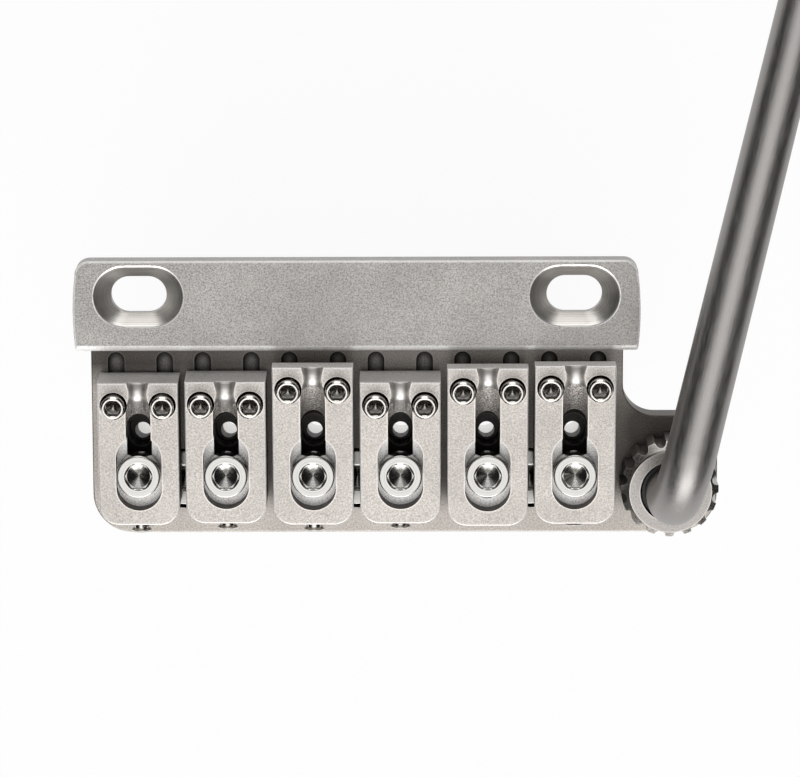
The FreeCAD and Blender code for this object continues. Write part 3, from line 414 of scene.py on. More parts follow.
def drawn_streaks():
    """Fine scratches along one direction, as on a rod that was polished lengthways."""
    wiring, given, result = node_group(
        "Drawn streaks",
        {"Heading": 0.0, "Streak Width": 0.0002, "Streak Length": 0.02},
        {"Streaks": "NodeSocketFloat"},
    )
    turn = wiring.add("ShaderNodeCombineXYZ", {"Z": given["Heading"]})
    across = wiring.math("DIVIDE", 1.0, given["Streak Width"])
    along = wiring.math("DIVIDE", 1.0, given["Streak Length"])
    scale = wiring.add("ShaderNodeCombineXYZ", {"X": across, "Y": along, "Z": across})
    turned = wiring.add(
        "ShaderNodeMapping",
        {"Vector": wiring.object_coordinates(), "Rotation": turn.outputs["Vector"]},
    )
    factors = {0: turned.outputs["Vector"], 1: scale.outputs["Vector"]}
    stretched = wiring.add("ShaderNodeVectorMath", factors, operation="MULTIPLY").outputs["Vector"]
    noise = wiring.add("ShaderNodeTexNoise", {"Vector": stretched, "Scale": 1.0, "Detail": 3.0})
    wiring.feed(result, {"Streaks": noise.outputs["Fac"]})
    return wiring.tree


def painted_base_plate_shade():
    """Where painted shade lies on the base plate, for the shadows of the saddles and of the arm's nut: along
    the front edge, most at one end, and round the arm's socket.

    A deeper painted shade lies in the string slots.
    """
    wiring, given, result = node_group(
        "Painted base plate shade",
        {
            "Clear Y": -0.0125, "Full Y": -0.009, "Full X": -0.03, "Faint X": 0.03, "Faint Share": 0.4,
            "Spot X": 0.037, "Spot Y": -0.0175, "Spot Inner": 0.003, "Spot Outer": 0.010,
            "String Pitch": 0.0108, "Slot Inner": 0.0017, "Slot Outer": 0.0022, "Slot Front": -0.0125,
            "Slot Back": -0.025, "Row End": 0.0324,
        },
        {"Front Shade": "NodeSocketFloat", "Slot Shade": "NodeSocketFloat"},
    )
    axes = wiring.add("ShaderNodeSeparateXYZ", {"Vector": wiring.object_coordinates()}).outputs

    def squared(value):
        return wiring.math("MULTIPLY", value, value)

    front = wiring.spread(axes["Y"], 0.0, 1.0, given["Clear Y"], given["Full Y"])
    fading = wiring.spread(axes["X"], 1.0, given["Faint Share"], given["Full X"], given["Faint X"])
    aside = wiring.math("SUBTRACT", axes["X"], given["Spot X"])
    behind = wiring.math("SUBTRACT", axes["Y"], given["Spot Y"])
    away = wiring.math("SQRT", wiring.math("ADD", squared(aside), squared(behind)))
    spot = wiring.spread(away, 1.0, 0.0, given["Spot Inner"], given["Spot Outer"])
    front_shade = wiring.math("MAXIMUM", wiring.math("MULTIPLY", front, fading), spot)

    half_pitch = wiring.math("DIVIDE", given["String Pitch"], 2.0)
    from_string = wiring.math("SUBTRACT", half_pitch, wiring.math("PINGPONG", axes["X"], half_pitch))
    slot_shade = wiring.spread(from_string, 1.0, 0.0, given["Slot Inner"], given["Slot Outer"])
    for limit, axis, name in (
        ("LESS_THAN", "Y", "Slot Front"),
        ("GREATER_THAN", "Y", "Slot Back"),
        ("LESS_THAN", "X", "Row End"),
    ):
        slot_shade = wiring.math("MULTIPLY", slot_shade, wiring.math(limit, axes[axis], given[name]))
    wiring.feed(result, {"Front Shade": front_shade, "Slot Shade": slot_shade})
    return wiring.tree


GROUP_MAKERS = {
    "Painted base plate shade": painted_base_plate_shade,
    "Blasted grain": blasted_grain,
    "Rounded edges and painted highlight": rounded_edges_and_highlight,
    "Painted recess shade": painted_recess_shade,
    "Turned marks": turned_marks,
    "Drawn streaks": drawn_streaks,
}


def place_group(wiring, name, inputs):
    """One of the shared effects, made on its first use."""
    tree = bpy.data.node_groups.get(name) or GROUP_MAKERS[name]()
    return wiring.add("ShaderNodeGroup", inputs, node_tree=tree).outputs


def opaque(shade):
    return (*shade, 1.0)


def scaled(shade, factor):
    return opaque([min(1.0, part * factor) for part in shade])


def new_material(name, metallic):
    """An empty material with its shader, and the wiring to dress it."""
    material = bpy.data.materials.new(name)
    material.use_nodes = True
    wiring = Wiring(material.node_tree)
    shader = material.node_tree.nodes["Principled BSDF"]
    shader.inputs["Metallic"].default_value = metallic
    return material, wiring, shader


def bump(wiring, **inputs):
    return wiring.add("ShaderNodeBump", inputs).outputs["Normal"]


def uneven(wiring, fine, broad, contrast):
    """A tone about 1 that varies with a fine noise and, less, with a broad one."""
    soft = contrast * CLOUD_SHARE
    pits = wiring.spread(fine, 1 - contrast, 1 + contrast, *NOISE_SPAN)
    clouds = wiring.spread(broad, 1 - soft, 1 + soft, *NOISE_SPAN)
    return wiring.math("MULTIPLY", pits, clouds)


def with_recess_shade(wiring, shade, body, reach, clear, closed=0.0):
    """A finish's colour, with painted shade where it is closed in."""
    limits = {"Reach": reach, "Closed": closed, "Open": clear}
    openness = place_group(wiring, "Painted recess shade", limits)["Openness"]
    return wiring.blend(openness, scaled(shade, RECESS_SHADE_SHARE), body)


def blasted_steel(
    name, shade, rough, contrast=0.4, grain_size=0.00019, reach=0.004, closed=0.0, clear=0.6, edge_highlight=0.75,
    painted_shade=None, metallic=1.0, rough_spread=0.08,
):
    """Bead-blasted steel, with a painted highlight on its edges and painted shade in its recesses."""
    material, wiring, shader = new_material(name, metallic)
    grain = place_group(wiring, "Blasted grain", {"Grain Size": grain_size, "Cloud Size": 0.007})
    edge = place_group(wiring, "Rounded edges and painted highlight", {"Width": 0.0003, "Gain": 14.0})["Edge"]
    tone = uneven(wiring, grain["Grain"], grain["Cloud"], contrast)
    body = wiring.tint(shade, tone)
    # Painted shade on the base plate's front, round the arm's socket and in its string slots.
    if painted_shade:
        shade_masks = place_group(wiring, "Painted base plate shade", {})
        cover = wiring.math("MULTIPLY", shade_masks["Front Shade"], FRONT_SHADE_COVER)
        body = wiring.blend(cover, body, wiring.tint(painted_shade, tone))
        body = wiring.blend(shade_masks["Slot Shade"], body, scaled(painted_shade, SLOT_SHADE_SHARE))
    # Painted highlight: the colour brightens along edges.
    body = wiring.blend(wiring.math("MULTIPLY", edge, edge_highlight), body, scaled(shade, EDGE_HIGHLIGHT_SHARE))
    # Painted shade: the colour darkens where the piece is closed in.
    wiring.feed(shader, {
        "Base Color": with_recess_shade(wiring, shade, body, reach, clear, closed),
        "Roughness": wiring.spread(grain["Grain"], rough - rough_spread, rough + rough_spread, *NOISE_SPAN),
        "Normal": bump(wiring, Height=grain["Grain"], Distance=grain_size * PIT_SHARE, Strength=0.3),
    })
    return material


def polished_steel(name, shade, rough=0.1, mark_size=0.00012, mark_contrast=0.12, rough_spread=0.1):
    """Turned and polished steel, with faint lathe rings."""
    material, wiring, shader = new_material(name, metallic=1.0)
    marks = place_group(wiring, "Turned marks", {"Mark Size": mark_size})["Marks"]
    cloud = place_group(wiring, "Blasted grain", {"Grain Size": 0.0003, "Cloud Size": 0.002})["Cloud"]
    rounded_normal = place_group(wiring, "Rounded edges and painted highlight", {"Width": 0.0001, "Gain": 4.0})["Normal"]
    body = wiring.tint(shade, uneven(wiring, marks, cloud, mark_contrast))
    # Painted shade: the colour darkens where the piece is closed in.
    wiring.feed(shader, {
        "Base Color": with_recess_shade(wiring, shade, body, reach=0.0025, clear=0.6),
        "Roughness": wiring.spread(cloud, rough, rough + rough_spread),
        "Normal": bump(wiring, Height=marks, Distance=mark_size, Strength=0.05, Normal=rounded_normal),
    })
    return material


def satin_rod(name, shade, heading, rough=0.42, rough_spread=0.06):
    """A rod with scratches along its length."""
    material, wiring, shader = new_material(name, metallic=1.0)
    scratches = {"Heading": heading, "Streak Width": 0.0002, "Streak Length": 0.003}
    streaks = place_group(wiring, "Drawn streaks", scratches)["Streaks"]
    grain = place_group(wiring, "Blasted grain", {"Grain Size": 0.00025, "Cloud Size": 0.009})["Grain"]
    rounded_normal = place_group(wiring, "Rounded edges and painted highlight", {"Width": 0.0003, "Gain": 3.0})["Normal"]
    body = wiring.tint(shade, uneven(wiring, streaks, grain, contrast=0.1))
    # Painted shade: the colour darkens where the rod is closed in.
    wiring.feed(shader, {
        "Base Color": with_recess_shade(wiring, shade, body, reach=0.003, clear=0.7),
        "Roughness": wiring.spread(streaks, rough - rough_spread, rough + rough_spread, *NOISE_SPAN),
        "Normal": bump(wiring, Height=streaks, Distance=0.00003, Strength=0.25, Normal=rounded_normal),
    })
    return material


def moulded_plastic(name, shade, dark_share=0.7, light_share=1.6):
    """Smooth black plastic."""
    material, wiring, shader = new_material(name, metallic=0.0)
    cloud = place_group(wiring, "Blasted grain", {"Grain Size": 0.0004, "Cloud Size": 0.003})["Cloud"]
    wiring.feed(shader, {
        "Base Color": wiring.blend(cloud, scaled(shade, dark_share), scaled(shade, light_share)),
        "Roughness": wiring.spread(cloud, low=0.4, high=0.55),
    })
    return material


# Mesh building


class Seat:
    """Where a turned piece of the frame sits: its axis frame, its height and its radius."""

    def __init__(self, points, turn):
        local = [turn.inverted() @ point for point in points]
        lows = [min(point[axis] for point in local) for axis in range(3)]
        highs = [max(point[axis] for point in local) for axis in range(3)]
        self.radius = (highs[0] - lows[0]) / 2
        self.height = highs[2] - lows[2]
        foot = Vector(((lows[0] + highs[0]) / 2, (lows[1] + highs[1]) / 2, lows[2]))
        self.matrix = Matrix.Translation(turn @ foot) @ turn.to_4x4()


def node_points(node):
    if node not in frame["nodes"]:
        raise RuntimeError(f"the frame has no node {node}")
    return [vertex.co.copy() for vertex in frame["nodes"][node].data.vertices]


def side_by_side(points, gap):
    """The points of each of several like solids that stand in a row along X."""
    ordered = sorted(points, key=lambda point: point.x)
    rows = [[ordered[0]]]
    for before, after in zip(ordered, ordered[1:]):
        if after.x - before.x > gap:
            rows.append([])
        rows[-1].append(after)
    return rows


def saddle_turn(string):
    """How a saddle is tipped, read from its largest level face."""
    faces = frame["nodes"][f"saddle_{string}"].data.polygons
    top = max((face for face in faces if face.normal.z > LEVEL_RISE), key=lambda face: face.area)
    return Matrix.Rotation(math.atan2(-top.normal.y, top.normal.z), 3, "X")


def round_shape(_):
    return 1.0


def hex_shape(turn):
    """How far a hexagon stands out from the circle inside it."""
    return 1.0 / math.cos(turn % HEX_TURN - HEX_TURN / 2)


def around(points):
    """Each point of a ring with the one before it."""
    return zip(points[-1:] + points[:-1], points)


def ring_edges(bm, points):
    return [bm.edges.get(both) for both in around(points)]


def set_ring(points, radius, height, shape):
    """Moves a ring's points, each in its own direction from Z, to a radius and a height."""
    for point in points:
        turn = math.atan2(point.co.y, point.co.x)
        out = radius * shape(turn)
        point.co = (out * math.cos(turn), out * math.sin(turn), height)


def draw_ring(bm, points, radius, height, shape=round_shape):
    """The next ring of a turned piece, extruded from the one before; a radius of 0 closes the piece."""
    drawn = bmesh.ops.extrude_edge_only(bm, edges=ring_edges(bm, points))["geom"]
    fresh = [item for item in drawn if isinstance(item, bmesh.types.BMVert)]
    fresh.sort(key=lambda point: math.atan2(point.co.y, point.co.x))
    set_ring(fresh, radius, height, shape)
    return fresh


def draw_rings(bm, sections, steps=None):
    """The rings of a turned piece, from their radii, heights and, where they aren't round, shapes."""
    steps = steps or bpy.context.scene.bridge_screws.steps
    (radius, height), *others = sections
    first = bmesh.ops.create_circle(bm, cap_ends=False, radius=radius, segments=steps)["verts"]
    set_ring(first, radius, height, round_shape)
    rings = [first]
    for section in others:
        rings.append(draw_ring(bm, rings[-1], *section))
    return rings


def soften(bm, rings, offset, segments=4):
    """Rounds the edges of some rings."""
    edges = [edge for points in rings for edge in ring_edges(bm, points)]
    bmesh.ops.bevel(
        bm, geom=edges, offset=offset, offset_type="OFFSET", segments=segments, profile=0.5,
        affect="EDGES", material=-1, clamp_overlap=True,
    )


def sink_socket(bm, rim, flats, depth, top):
    """Sinks a hexagon socket with a drill point inside a rim."""
    sizes = bpy.context.scene.bridge_screws
    half = flats / 2
    floor = top - depth
    drilled = flats * sizes.drill_cone_share
    drill_radius = half * sizes.socket_floor_share
    rim = draw_ring(bm, rim, half * hex_shape(0), top)
    rim = draw_ring(bm, rim, half, top - sizes.socket_lead, hex_shape)
    rim = draw_ring(bm, rim, half, floor, hex_shape)
    for share in (1, *sizes.cone_shares, 0):
        rim = draw_ring(bm, rim, drill_radius * share, floor - drilled * (1 - share))


def wind_thread(bm, crest, low, high):
    """The ridge of a thread, wound round a shank whose surface hides its root."""
    sizes = bpy.context.scene.bridge_screws
    pitch = sizes.thread_pitch
    root = crest - sizes.thread_depth
    turns = (high - low) / pitch - 1
    steps = round(turns * sizes.thread_steps)
    sunk = root - pitch * THREAD_SUNK_SHARE
    flat = pitch * THREAD_FLAT_SHARE
    section = [bm.verts.new(corner) for corner in (
        (sunk, 0, low),
        (crest, 0, low + (pitch - flat) / 2),
        (crest, 0, low + (pitch + flat) / 2),
        (sunk, 0, low + pitch),
    )]
    edges = [bm.edges.new(both) for both in around(section)]
    bm.faces.new(section)
    wound = bmesh.ops.spin(
        bm, geom=section + edges, cent=(0, 0, 0), axis=(0, 0, 1), dvec=(0, 0, turns * pitch / steps),
        angle=turns * 2 * math.pi, steps=steps, use_merge=False, use_duplicate=False,
    )
    ends = [item for item in wound["geom_last"] if isinstance(item, bmesh.types.BMEdge)]
    bmesh.ops.contextual_create(bm, geom=ends)


def note_axis_distance(bm):
    """Stores each point's distance from the axis, which the lathe rings follow."""
    layer = bm.verts.layers.float.new(AXIS_DISTANCE)
    for vert in bm.verts:
        vert[layer] = math.hypot(vert.co.x, vert.co.y)


def seated(build, seats):
    """One mesh of like turned pieces, each built on its own axis and then put in its seat."""
    whole = bpy.data.meshes.new("pieces")
    gathered = bmesh.new()
    for seat in seats:
        bm = bmesh.new()
        build(bm, seat)
        bmesh.ops.remove_doubles(bm, verts=bm.verts, dist=MERGE_DISTANCE)
        bmesh.ops.recalc_face_normals(bm, faces=bm.faces)
        note_axis_distance(bm)
        bm.transform(seat.matrix)
        single = bpy.data.meshes.new("piece")
        bm.to_mesh(single)
        bm.free()
        gathered.from_mesh(single)
        bpy.data.meshes.remove(single)
    gathered.to_mesh(whole)
    gathered.free()
    whole.shade_smooth()
    whole.set_sharp_from_angle(angle=SHARP_ANGLE)
    return whole


def add_piece(name, mesh, materials, node):
    """A finished piece that stands for a node of the frame and moves with its body."""
    mesh.name = name
    for material in materials:
        mesh.materials.append(material)
    piece = bpy.data.objects.new(name, mesh)
    bpy.context.scene.collection.objects.link(piece)
    stand_in = frame["nodes"][node]
    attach(piece, stand_in["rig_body"])
    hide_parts(node)
    return piece


def copied(node):
    """A copy of a node's mesh, without its finish."""
    mesh = frame["nodes"][node].data.copy()
    mesh.materials.clear()
    return mesh


def dress(node, material):
    """Gives a node of the frame a finish."""
    frame["nodes"][node].material_slots[0].material = material


def shared(name, make, *values):
    """A material that several pieces use, made once."""
    return bpy.data.materials.get(name) or make(name, *values)


def screw_finish():
    return shared("polished screw steel", polished_steel, bpy.context.scene.bridge_colours.screw)


def cap_screw_finish():
    shade = bpy.context.scene.bridge_colours.cap_screw
    return shared("cap screw steel", polished_steel, shade, CAP_SCREW_ROUGH)


# Pieces


def turn_pieces(name, node, build, turn, finish, gap=math.inf):
    """Replaces a node's screws or nut, in a row where there are gaps, with pieces turned anew."""
    seats = [Seat(points, turn) for points in side_by_side(node_points(node), gap)]
    add_piece(name, seated(build, seats), [finish], node)


def headless_screw(bm, seat, socket, socket_depth, plain, dog_radius, dog):
    """A threaded screw with a socket in its plain top and a dog at its tip."""
    sizes = bpy.context.scene.bridge_screws
    chamfer = sizes.chamfer
    root = seat.radius - sizes.thread_depth
    top = seat.height
    neck = dog + root - dog_radius
    thread_end = top - plain - sizes.thread_pitch
    corners = [
        (dog_radius, 0),
        (dog_radius, dog),
        (root, neck),
        (root, thread_end),
        (seat.radius, thread_end + sizes.thread_depth),
        (seat.radius, top - chamfer),
        (seat.radius - chamfer, top),
    ]
    rings = draw_rings(bm, corners)
    sink_socket(bm, rings[-1], socket, socket_depth, top)
    draw_ring(bm, rings[0], 0, 0)
    wind_thread(bm, seat.radius, neck, thread_end)


def headed_screw(bm, seat, socket, socket_depth, head, shank):
    """A cap screw with a round head and a socket in it."""
    sizes = bpy.context.scene.bridge_screws
    root = shank - sizes.thread_depth
    under = seat.height - head
    corners = [(root, 0), (root, under), (seat.radius, under), (seat.radius, seat.height)]
    rings = draw_rings(bm, corners)
    sink_socket(bm, rings[-1], socket, socket_depth, seat.height)
    draw_ring(bm, rings[0], 0, 0)
    soften(bm, rings[2:4], sizes.edge_round * 2)
    wind_thread(bm, shank, 0, under)


class BRIDGE_OT_plates(bpy.types.Operator):
    """Finish the mounting plate, the base plate and the sustain block"""

    bl_idname = "bridge.plates"
    bl_label = "Plates and block"

    # Places in a piece's list of finishes, after its main one
    COUNTERSINK, RIM = 1, 2
    GROOVE = 1
    HOLE = 1

    def execute(self, context):
        slots = context.scene.bridge_slots
        shades = context.scene.bridge_colours
        self.finish_mount(slots, shades)
        self.finish_base(slots, shades)
        self.finish_block(shades)
        return {"FINISHED"}

    def finish_mount(self, slots, shades):
        """Gives the countersinks a machined finish, with marks that run round each slot."""
        mesh = copied("mounting_plate")

        def from_slot(point):
            along = max(abs(abs(point.x) - slots.spacing / 2) - slots.straight, 0)
            return math.hypot(along, point.y)

        distances = mesh.attributes.new(AXIS_DISTANCE, "FLOAT", "POINT")
        for vertex, entry in zip(mesh.vertices, distances.data):
            entry.value = from_slot(vertex.co)
        least, greatest = slots.slope_shares
        for face in mesh.polygons:
            if least < face.normal.z < greatest:
                near = from_slot(face.center) < slots.reach
                # Leaning faces away from the slots get a brighter finish, a painted highlight.
                face.material_index = self.COUNTERSINK if near else self.RIM
        finishes = [
            blasted_steel(
                "mounting plate steel", shades.mount, rough=0.46, contrast=0.5, reach=0.002, clear=0.4,
                edge_highlight=0.4,
            ),
            polished_steel("machined slot steel", shades.slot, 0.26, mark_size=0.0001, mark_contrast=0.2),
            blasted_steel(
                "plate edge painted highlight", shades.plate_rim, rough=0.4, contrast=0.2, reach=0.0005, clear=0.3,
                metallic=0.2,
            ),
        ]
        add_piece("mounting_plate_body", mesh, finishes, "mounting_plate")

    def finish_base(self, slots, shades):
        """Gives the height screws' grooves a floor with a dark colour and painted shade along its walls."""
        mesh = copied("base_plate")
        _, level = slots.slope_shares
        for face in mesh.polygons:
            on_floor = math.isclose(face.center.z, -slots.groove_depth, rel_tol=0.01)
            if on_floor and face.normal.z > level:
                face.material_index = self.GROOVE
        finishes = [
            # The base plate gets painted shade on its front, round the arm's socket, in its string slots and
            # in its recesses.
            blasted_steel("base plate steel", shades.base, rough=0.5, clear=0.5, edge_highlight=0.1, painted_shade=shades.front_shade),
            # The groove floor: a dark colour, with painted shade along its walls.
            blasted_steel(
                "groove floor painted shade", shades.groove, rough=0.5, reach=0.0012, closed=0.56, clear=0.9, edge_highlight=0.0,
            ),
        ]
        add_piece("base_plate_body", mesh, finishes, "base_plate")

    def finish_block(self, shades):
        """Gives the wide string holes a bright reamed finish, which carries light up from below."""
        mesh = copied("sustain_block")
        for mount in frame["record"]["mounts"]:
            if not mount["name"].startswith("string_"):
                continue
            middle = Vector(mount["pos_m"])
            axis = Vector(mount["axis"])
            radius = mount["dims"]["r_mm"] * MILLIMETRE + MERGE_DISTANCE
            half_length = mount["dims"]["length_mm"] * MILLIMETRE / 2
            for face in mesh.polygons:
                along = (face.center - middle).dot(axis)
                from_axis = (face.center - middle - axis * along).length
                if abs(along) < half_length and from_axis < radius:
                    face.material_index = self.HOLE
        # The block steel gets painted shade deep in its bores and recesses.
        finishes = [
            blasted_steel(
                "block steel", shades.block, rough=0.42, grain_size=0.0003, reach=0.008, closed=0.4,
                clear=0.8,
            ),
            blasted_steel(
                "reamed hole steel", shades.slot, rough=0.3, contrast=0.1, reach=0.0005, clear=0.3, edge_highlight=0.0,
            ),
        ]
        add_piece("sustain_block_body", mesh, finishes, "sustain_block")


class BRIDGE_OT_saddles(bpy.types.Operator):
    """Finish the six saddles, with a polished crown on each"""

    bl_idname = "bridge.saddles"
    bl_label = "Saddles"

    # Places in the list of finishes, after the main one
    # RIM carries a painted highlight, WALL painted shade and POCKET painted light.
    CROWN, RIM, RAMP, WALL, POCKET = range(1, 6)

    def execute(self, context):
        shades = context.scene.bridge_colours
        finishes = [
            blasted_steel(
                "saddle steel", shades.saddle, rough=0.5, contrast=0.38, reach=0.002, closed=0.1, clear=0.35,
            ),
            polished_steel("crown steel", shades.crown, rough=0.36, mark_size=0.0002, mark_contrast=0.3),
            blasted_steel("saddle edge painted highlight", shades.rim, 0.4, contrast=0.2, closed=0.1, metallic=0.5),
            blasted_steel(
                "saddle ramp", shades.saddle, rough=0.5, contrast=0.9, reach=0.002, clear=0.2, metallic=0.5,
            ),
            blasted_steel("saddle wall painted shade", shades.wall, rough=0.5, reach=0.002, clear=0.4, edge_highlight=0.0),
            blasted_steel("saddle pocket floor painted light", shades.rim, rough=0.5, reach=0.0005, clear=0.4),
        ]
        for string in STRINGS:
            self.finish_saddle(context.scene.bridge_saddles, string, finishes)
        return {"FINISHED"}

    def finish_saddle(self, sizes, string, finishes):
        """Sorts a saddle's faces by where they are and how they slope."""
        node = f"saddle_{string}"
        mesh = copied(node)
        untip = saddle_turn(string).inverted()
        local = [untip @ vertex.co for vertex in mesh.vertices]
        top = max(point.z for point in local)
        front = max(point.y for point in local)
        rear = min(point.y for point in local)
        low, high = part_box(node)
        middle = (low.x + high.x) / 2
        half = (high.x - low.x) / 2
        least, greatest = sizes.rim_slopes
        for face in mesh.polygons:
            centre = untip @ face.center
            rise = (untip @ face.normal).z
            aside = abs(centre.x - middle)
            inside = centre.z < top - sizes.skin and aside < sizes.crown_half_width
            near = centre.y > front - sizes.crown_length
            between_ends = rear + sizes.wall_inset < centre.y < front - sizes.wall_inset
            enclosed = between_ends and aside < half - sizes.wall_inset
            if inside and near and rise > sizes.crown_slope:
                face.material_index = self.CROWN
            elif inside and sizes.crown_slope < rise < greatest:
                face.material_index = self.RAMP
            # Walls inside the saddle: painted shade.
            elif enclosed and abs(rise) < sizes.crown_slope:
                face.material_index = self.WALL
            # Outline faces near the top: painted highlight.
            elif least < rise < greatest and centre.z > top - sizes.rim:
                face.material_index = self.RIM
            # Front faces: painted light, a brighter colour.
            elif face.normal.y > greatest and centre.y > front - sizes.rim:
                face.material_index = self.RIM
            # Pocket floors: painted light, a brighter colour.
            elif rise > greatest and centre.z < top - sizes.wall_inset:
                face.material_index = self.POCKET
        add_piece(f"saddle_body_{string}", mesh, finishes, node)


class BRIDGE_OT_height_screws(bpy.types.Operator):
    """Turn the two height screws of each saddle"""

    bl_idname = "bridge.height_screws"
    bl_label = "Height screws"

    def execute(self, context):
        sizes = context.scene.bridge_screws

        def build(bm, seat):
            headless_screw(
                bm, seat, sizes.height_socket, sizes.height_socket_depth, sizes.height_plain,
                sizes.height_dog_radius, sizes.height_dog,
            )

        for string in STRINGS:
            turn_pieces(
                f"height_screw_pair_{string}", f"height_screws_{string}", build, saddle_turn(string),
                screw_finish(), sizes.height_socket,
            )
        return {"FINISHED"}


class BRIDGE_OT_lock_screws(bpy.types.Operator):
    """Turn the screw that clamps each saddle"""

    bl_idname = "bridge.lock_screws"
    bl_label = "Lock screws"

    def execute(self, context):
        sizes = context.scene.bridge_screws

        def build(bm, seat):
            headed_screw(
                bm, seat, sizes.lock_socket, sizes.lock_socket_depth, sizes.lock_head, sizes.lock_shank,
            )

        for string in STRINGS:
            turn_pieces(
                f"lock_cap_screw_{string}", f"lock_screw_{string}", build, UPRIGHT, cap_screw_finish(),
            )
        return {"FINISHED"}


class BRIDGE_OT_intonation_screws(bpy.types.Operator):
    """Turn the grub screw that sets each string's length"""

    bl_idname = "bridge.intonation_screws"
    bl_label = "Intonation screws"

    def execute(self, context):
        sizes = context.scene.bridge_screws

        def build(bm, seat):
            point = seat.radius - sizes.thread_depth * 2
            headless_screw(
                bm, seat, sizes.intonation_socket, sizes.intonation_socket_depth, sizes.intonation_plain,
                point, sizes.edge_round,
            )

        for string in STRINGS:
            turn_pieces(
                f"intonation_grub_{string}", f"intonation_screw_{string}", build, REARWARD, screw_finish(),
            )
        return {"FINISHED"}


class BRIDGE_OT_block_screws(bpy.types.Operator):
    """Turn the three screws that hold the sustain block"""

    bl_idname = "bridge.block_screws"
    bl_label = "Block screws"

    def execute(self, context):
        sizes = context.scene.bridge_screws

        def build(bm, seat):
            headed_screw(
                bm, seat, sizes.block_socket, sizes.block_socket_depth, sizes.block_head, sizes.block_shank,
            )

        turn_pieces(
            "block_cap_screws", "block_screws", build, UPRIGHT, cap_screw_finish(), sizes.block_socket,
        )
        return {"FINISHED"}


class BRIDGE_OT_hinge(bpy.types.Operator):
    """Finish the hinge's axle, bearings, shims and grub screws"""

    bl_idname = "bridge.hinge"
    bl_label = "Hinge"

    def execute(self, context):
        bearing = polished_steel("bearing steel", context.scene.bridge_colours.hinge, rough=0.16)
        nodes = (
            "hinge_axle", "axle_grub_screws", "bearing_inner_rings", "bearing_balls", "bearing_outer_rings",
            "hinge_shims",
        )
        for node in nodes:
            dress(node, bearing)
        return {"FINISHED"}


class BRIDGE_OT_tension_nut(bpy.types.Operator):
    """Cut the knurled nut on the arm's socket"""

    bl_idname = "bridge.tension_nut"
    bl_label = "Tension nut"

    def execute(self, context):
        sizes = context.scene.bridge_nut
        steps = sizes.teeth * sizes.tooth_steps

        def build(bm, seat):
            shoulder = seat.height - sizes.collar_height
            pitch = 2 * math.pi / sizes.teeth
            ledge = seat.radius - sizes.collar

            def fluted(turn):
                off = (turn % pitch - pitch / 2) * seat.radius
                return 1 - math.sqrt(max(sizes.flute**2 - off**2, 0)) / seat.radius

            sections = [
                (sizes.thread, 0),
                (seat.radius, 0, fluted),
                (seat.radius, shoulder, fluted),
                (sizes.collar, shoulder),
                (sizes.collar, seat.height),
                (sizes.mouth, seat.height),
                (sizes.mouth, sizes.thread_height),
                (sizes.thread, sizes.thread_height),
                (sizes.thread, 0),
            ]
            _, _, crest, *_ = draw_rings(bm, sections, steps)
            for point in crest:
                out = math.hypot(point.co.x, point.co.y) - sizes.collar
                point.co.z -= sizes.shoulder_drop * out / ledge

        # The nut gets painted shade in its flutes and bore.
        finish = blasted_steel(
            "nut steel", context.scene.bridge_colours.nut, rough=0.34, contrast=0.3, reach=0.003, closed=0.1,
            clear=0.5,
        )
        turn_pieces("knurled_nut", "tension_nut", build, UPRIGHT, finish)
        return {"FINISHED"}


class BRIDGE_OT_arm(bpy.types.Operator):
    """Finish the arm, its sleeve and its bushing"""

    bl_idname = "bridge.arm"
    bl_label = "Arm and socket"

    def execute(self, context):
        shades = context.scene.bridge_colours
        _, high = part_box("tremolo_arm")
        nut_low, nut_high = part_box("tension_nut")
        post = (nut_low + nut_high) / 2
        heading = math.atan2(high.x - post.x, high.y - post.y)
        dress("tremolo_arm", satin_rod("arm steel", shades.arm, heading))
        dress("arm_bushing", blasted_steel("bushing steel", shades.nut, rough=0.4, closed=0.1))
        dress("arm_sleeve", moulded_plastic("sleeve plastic", shades.sleeve))
        return {"FINISHED"}


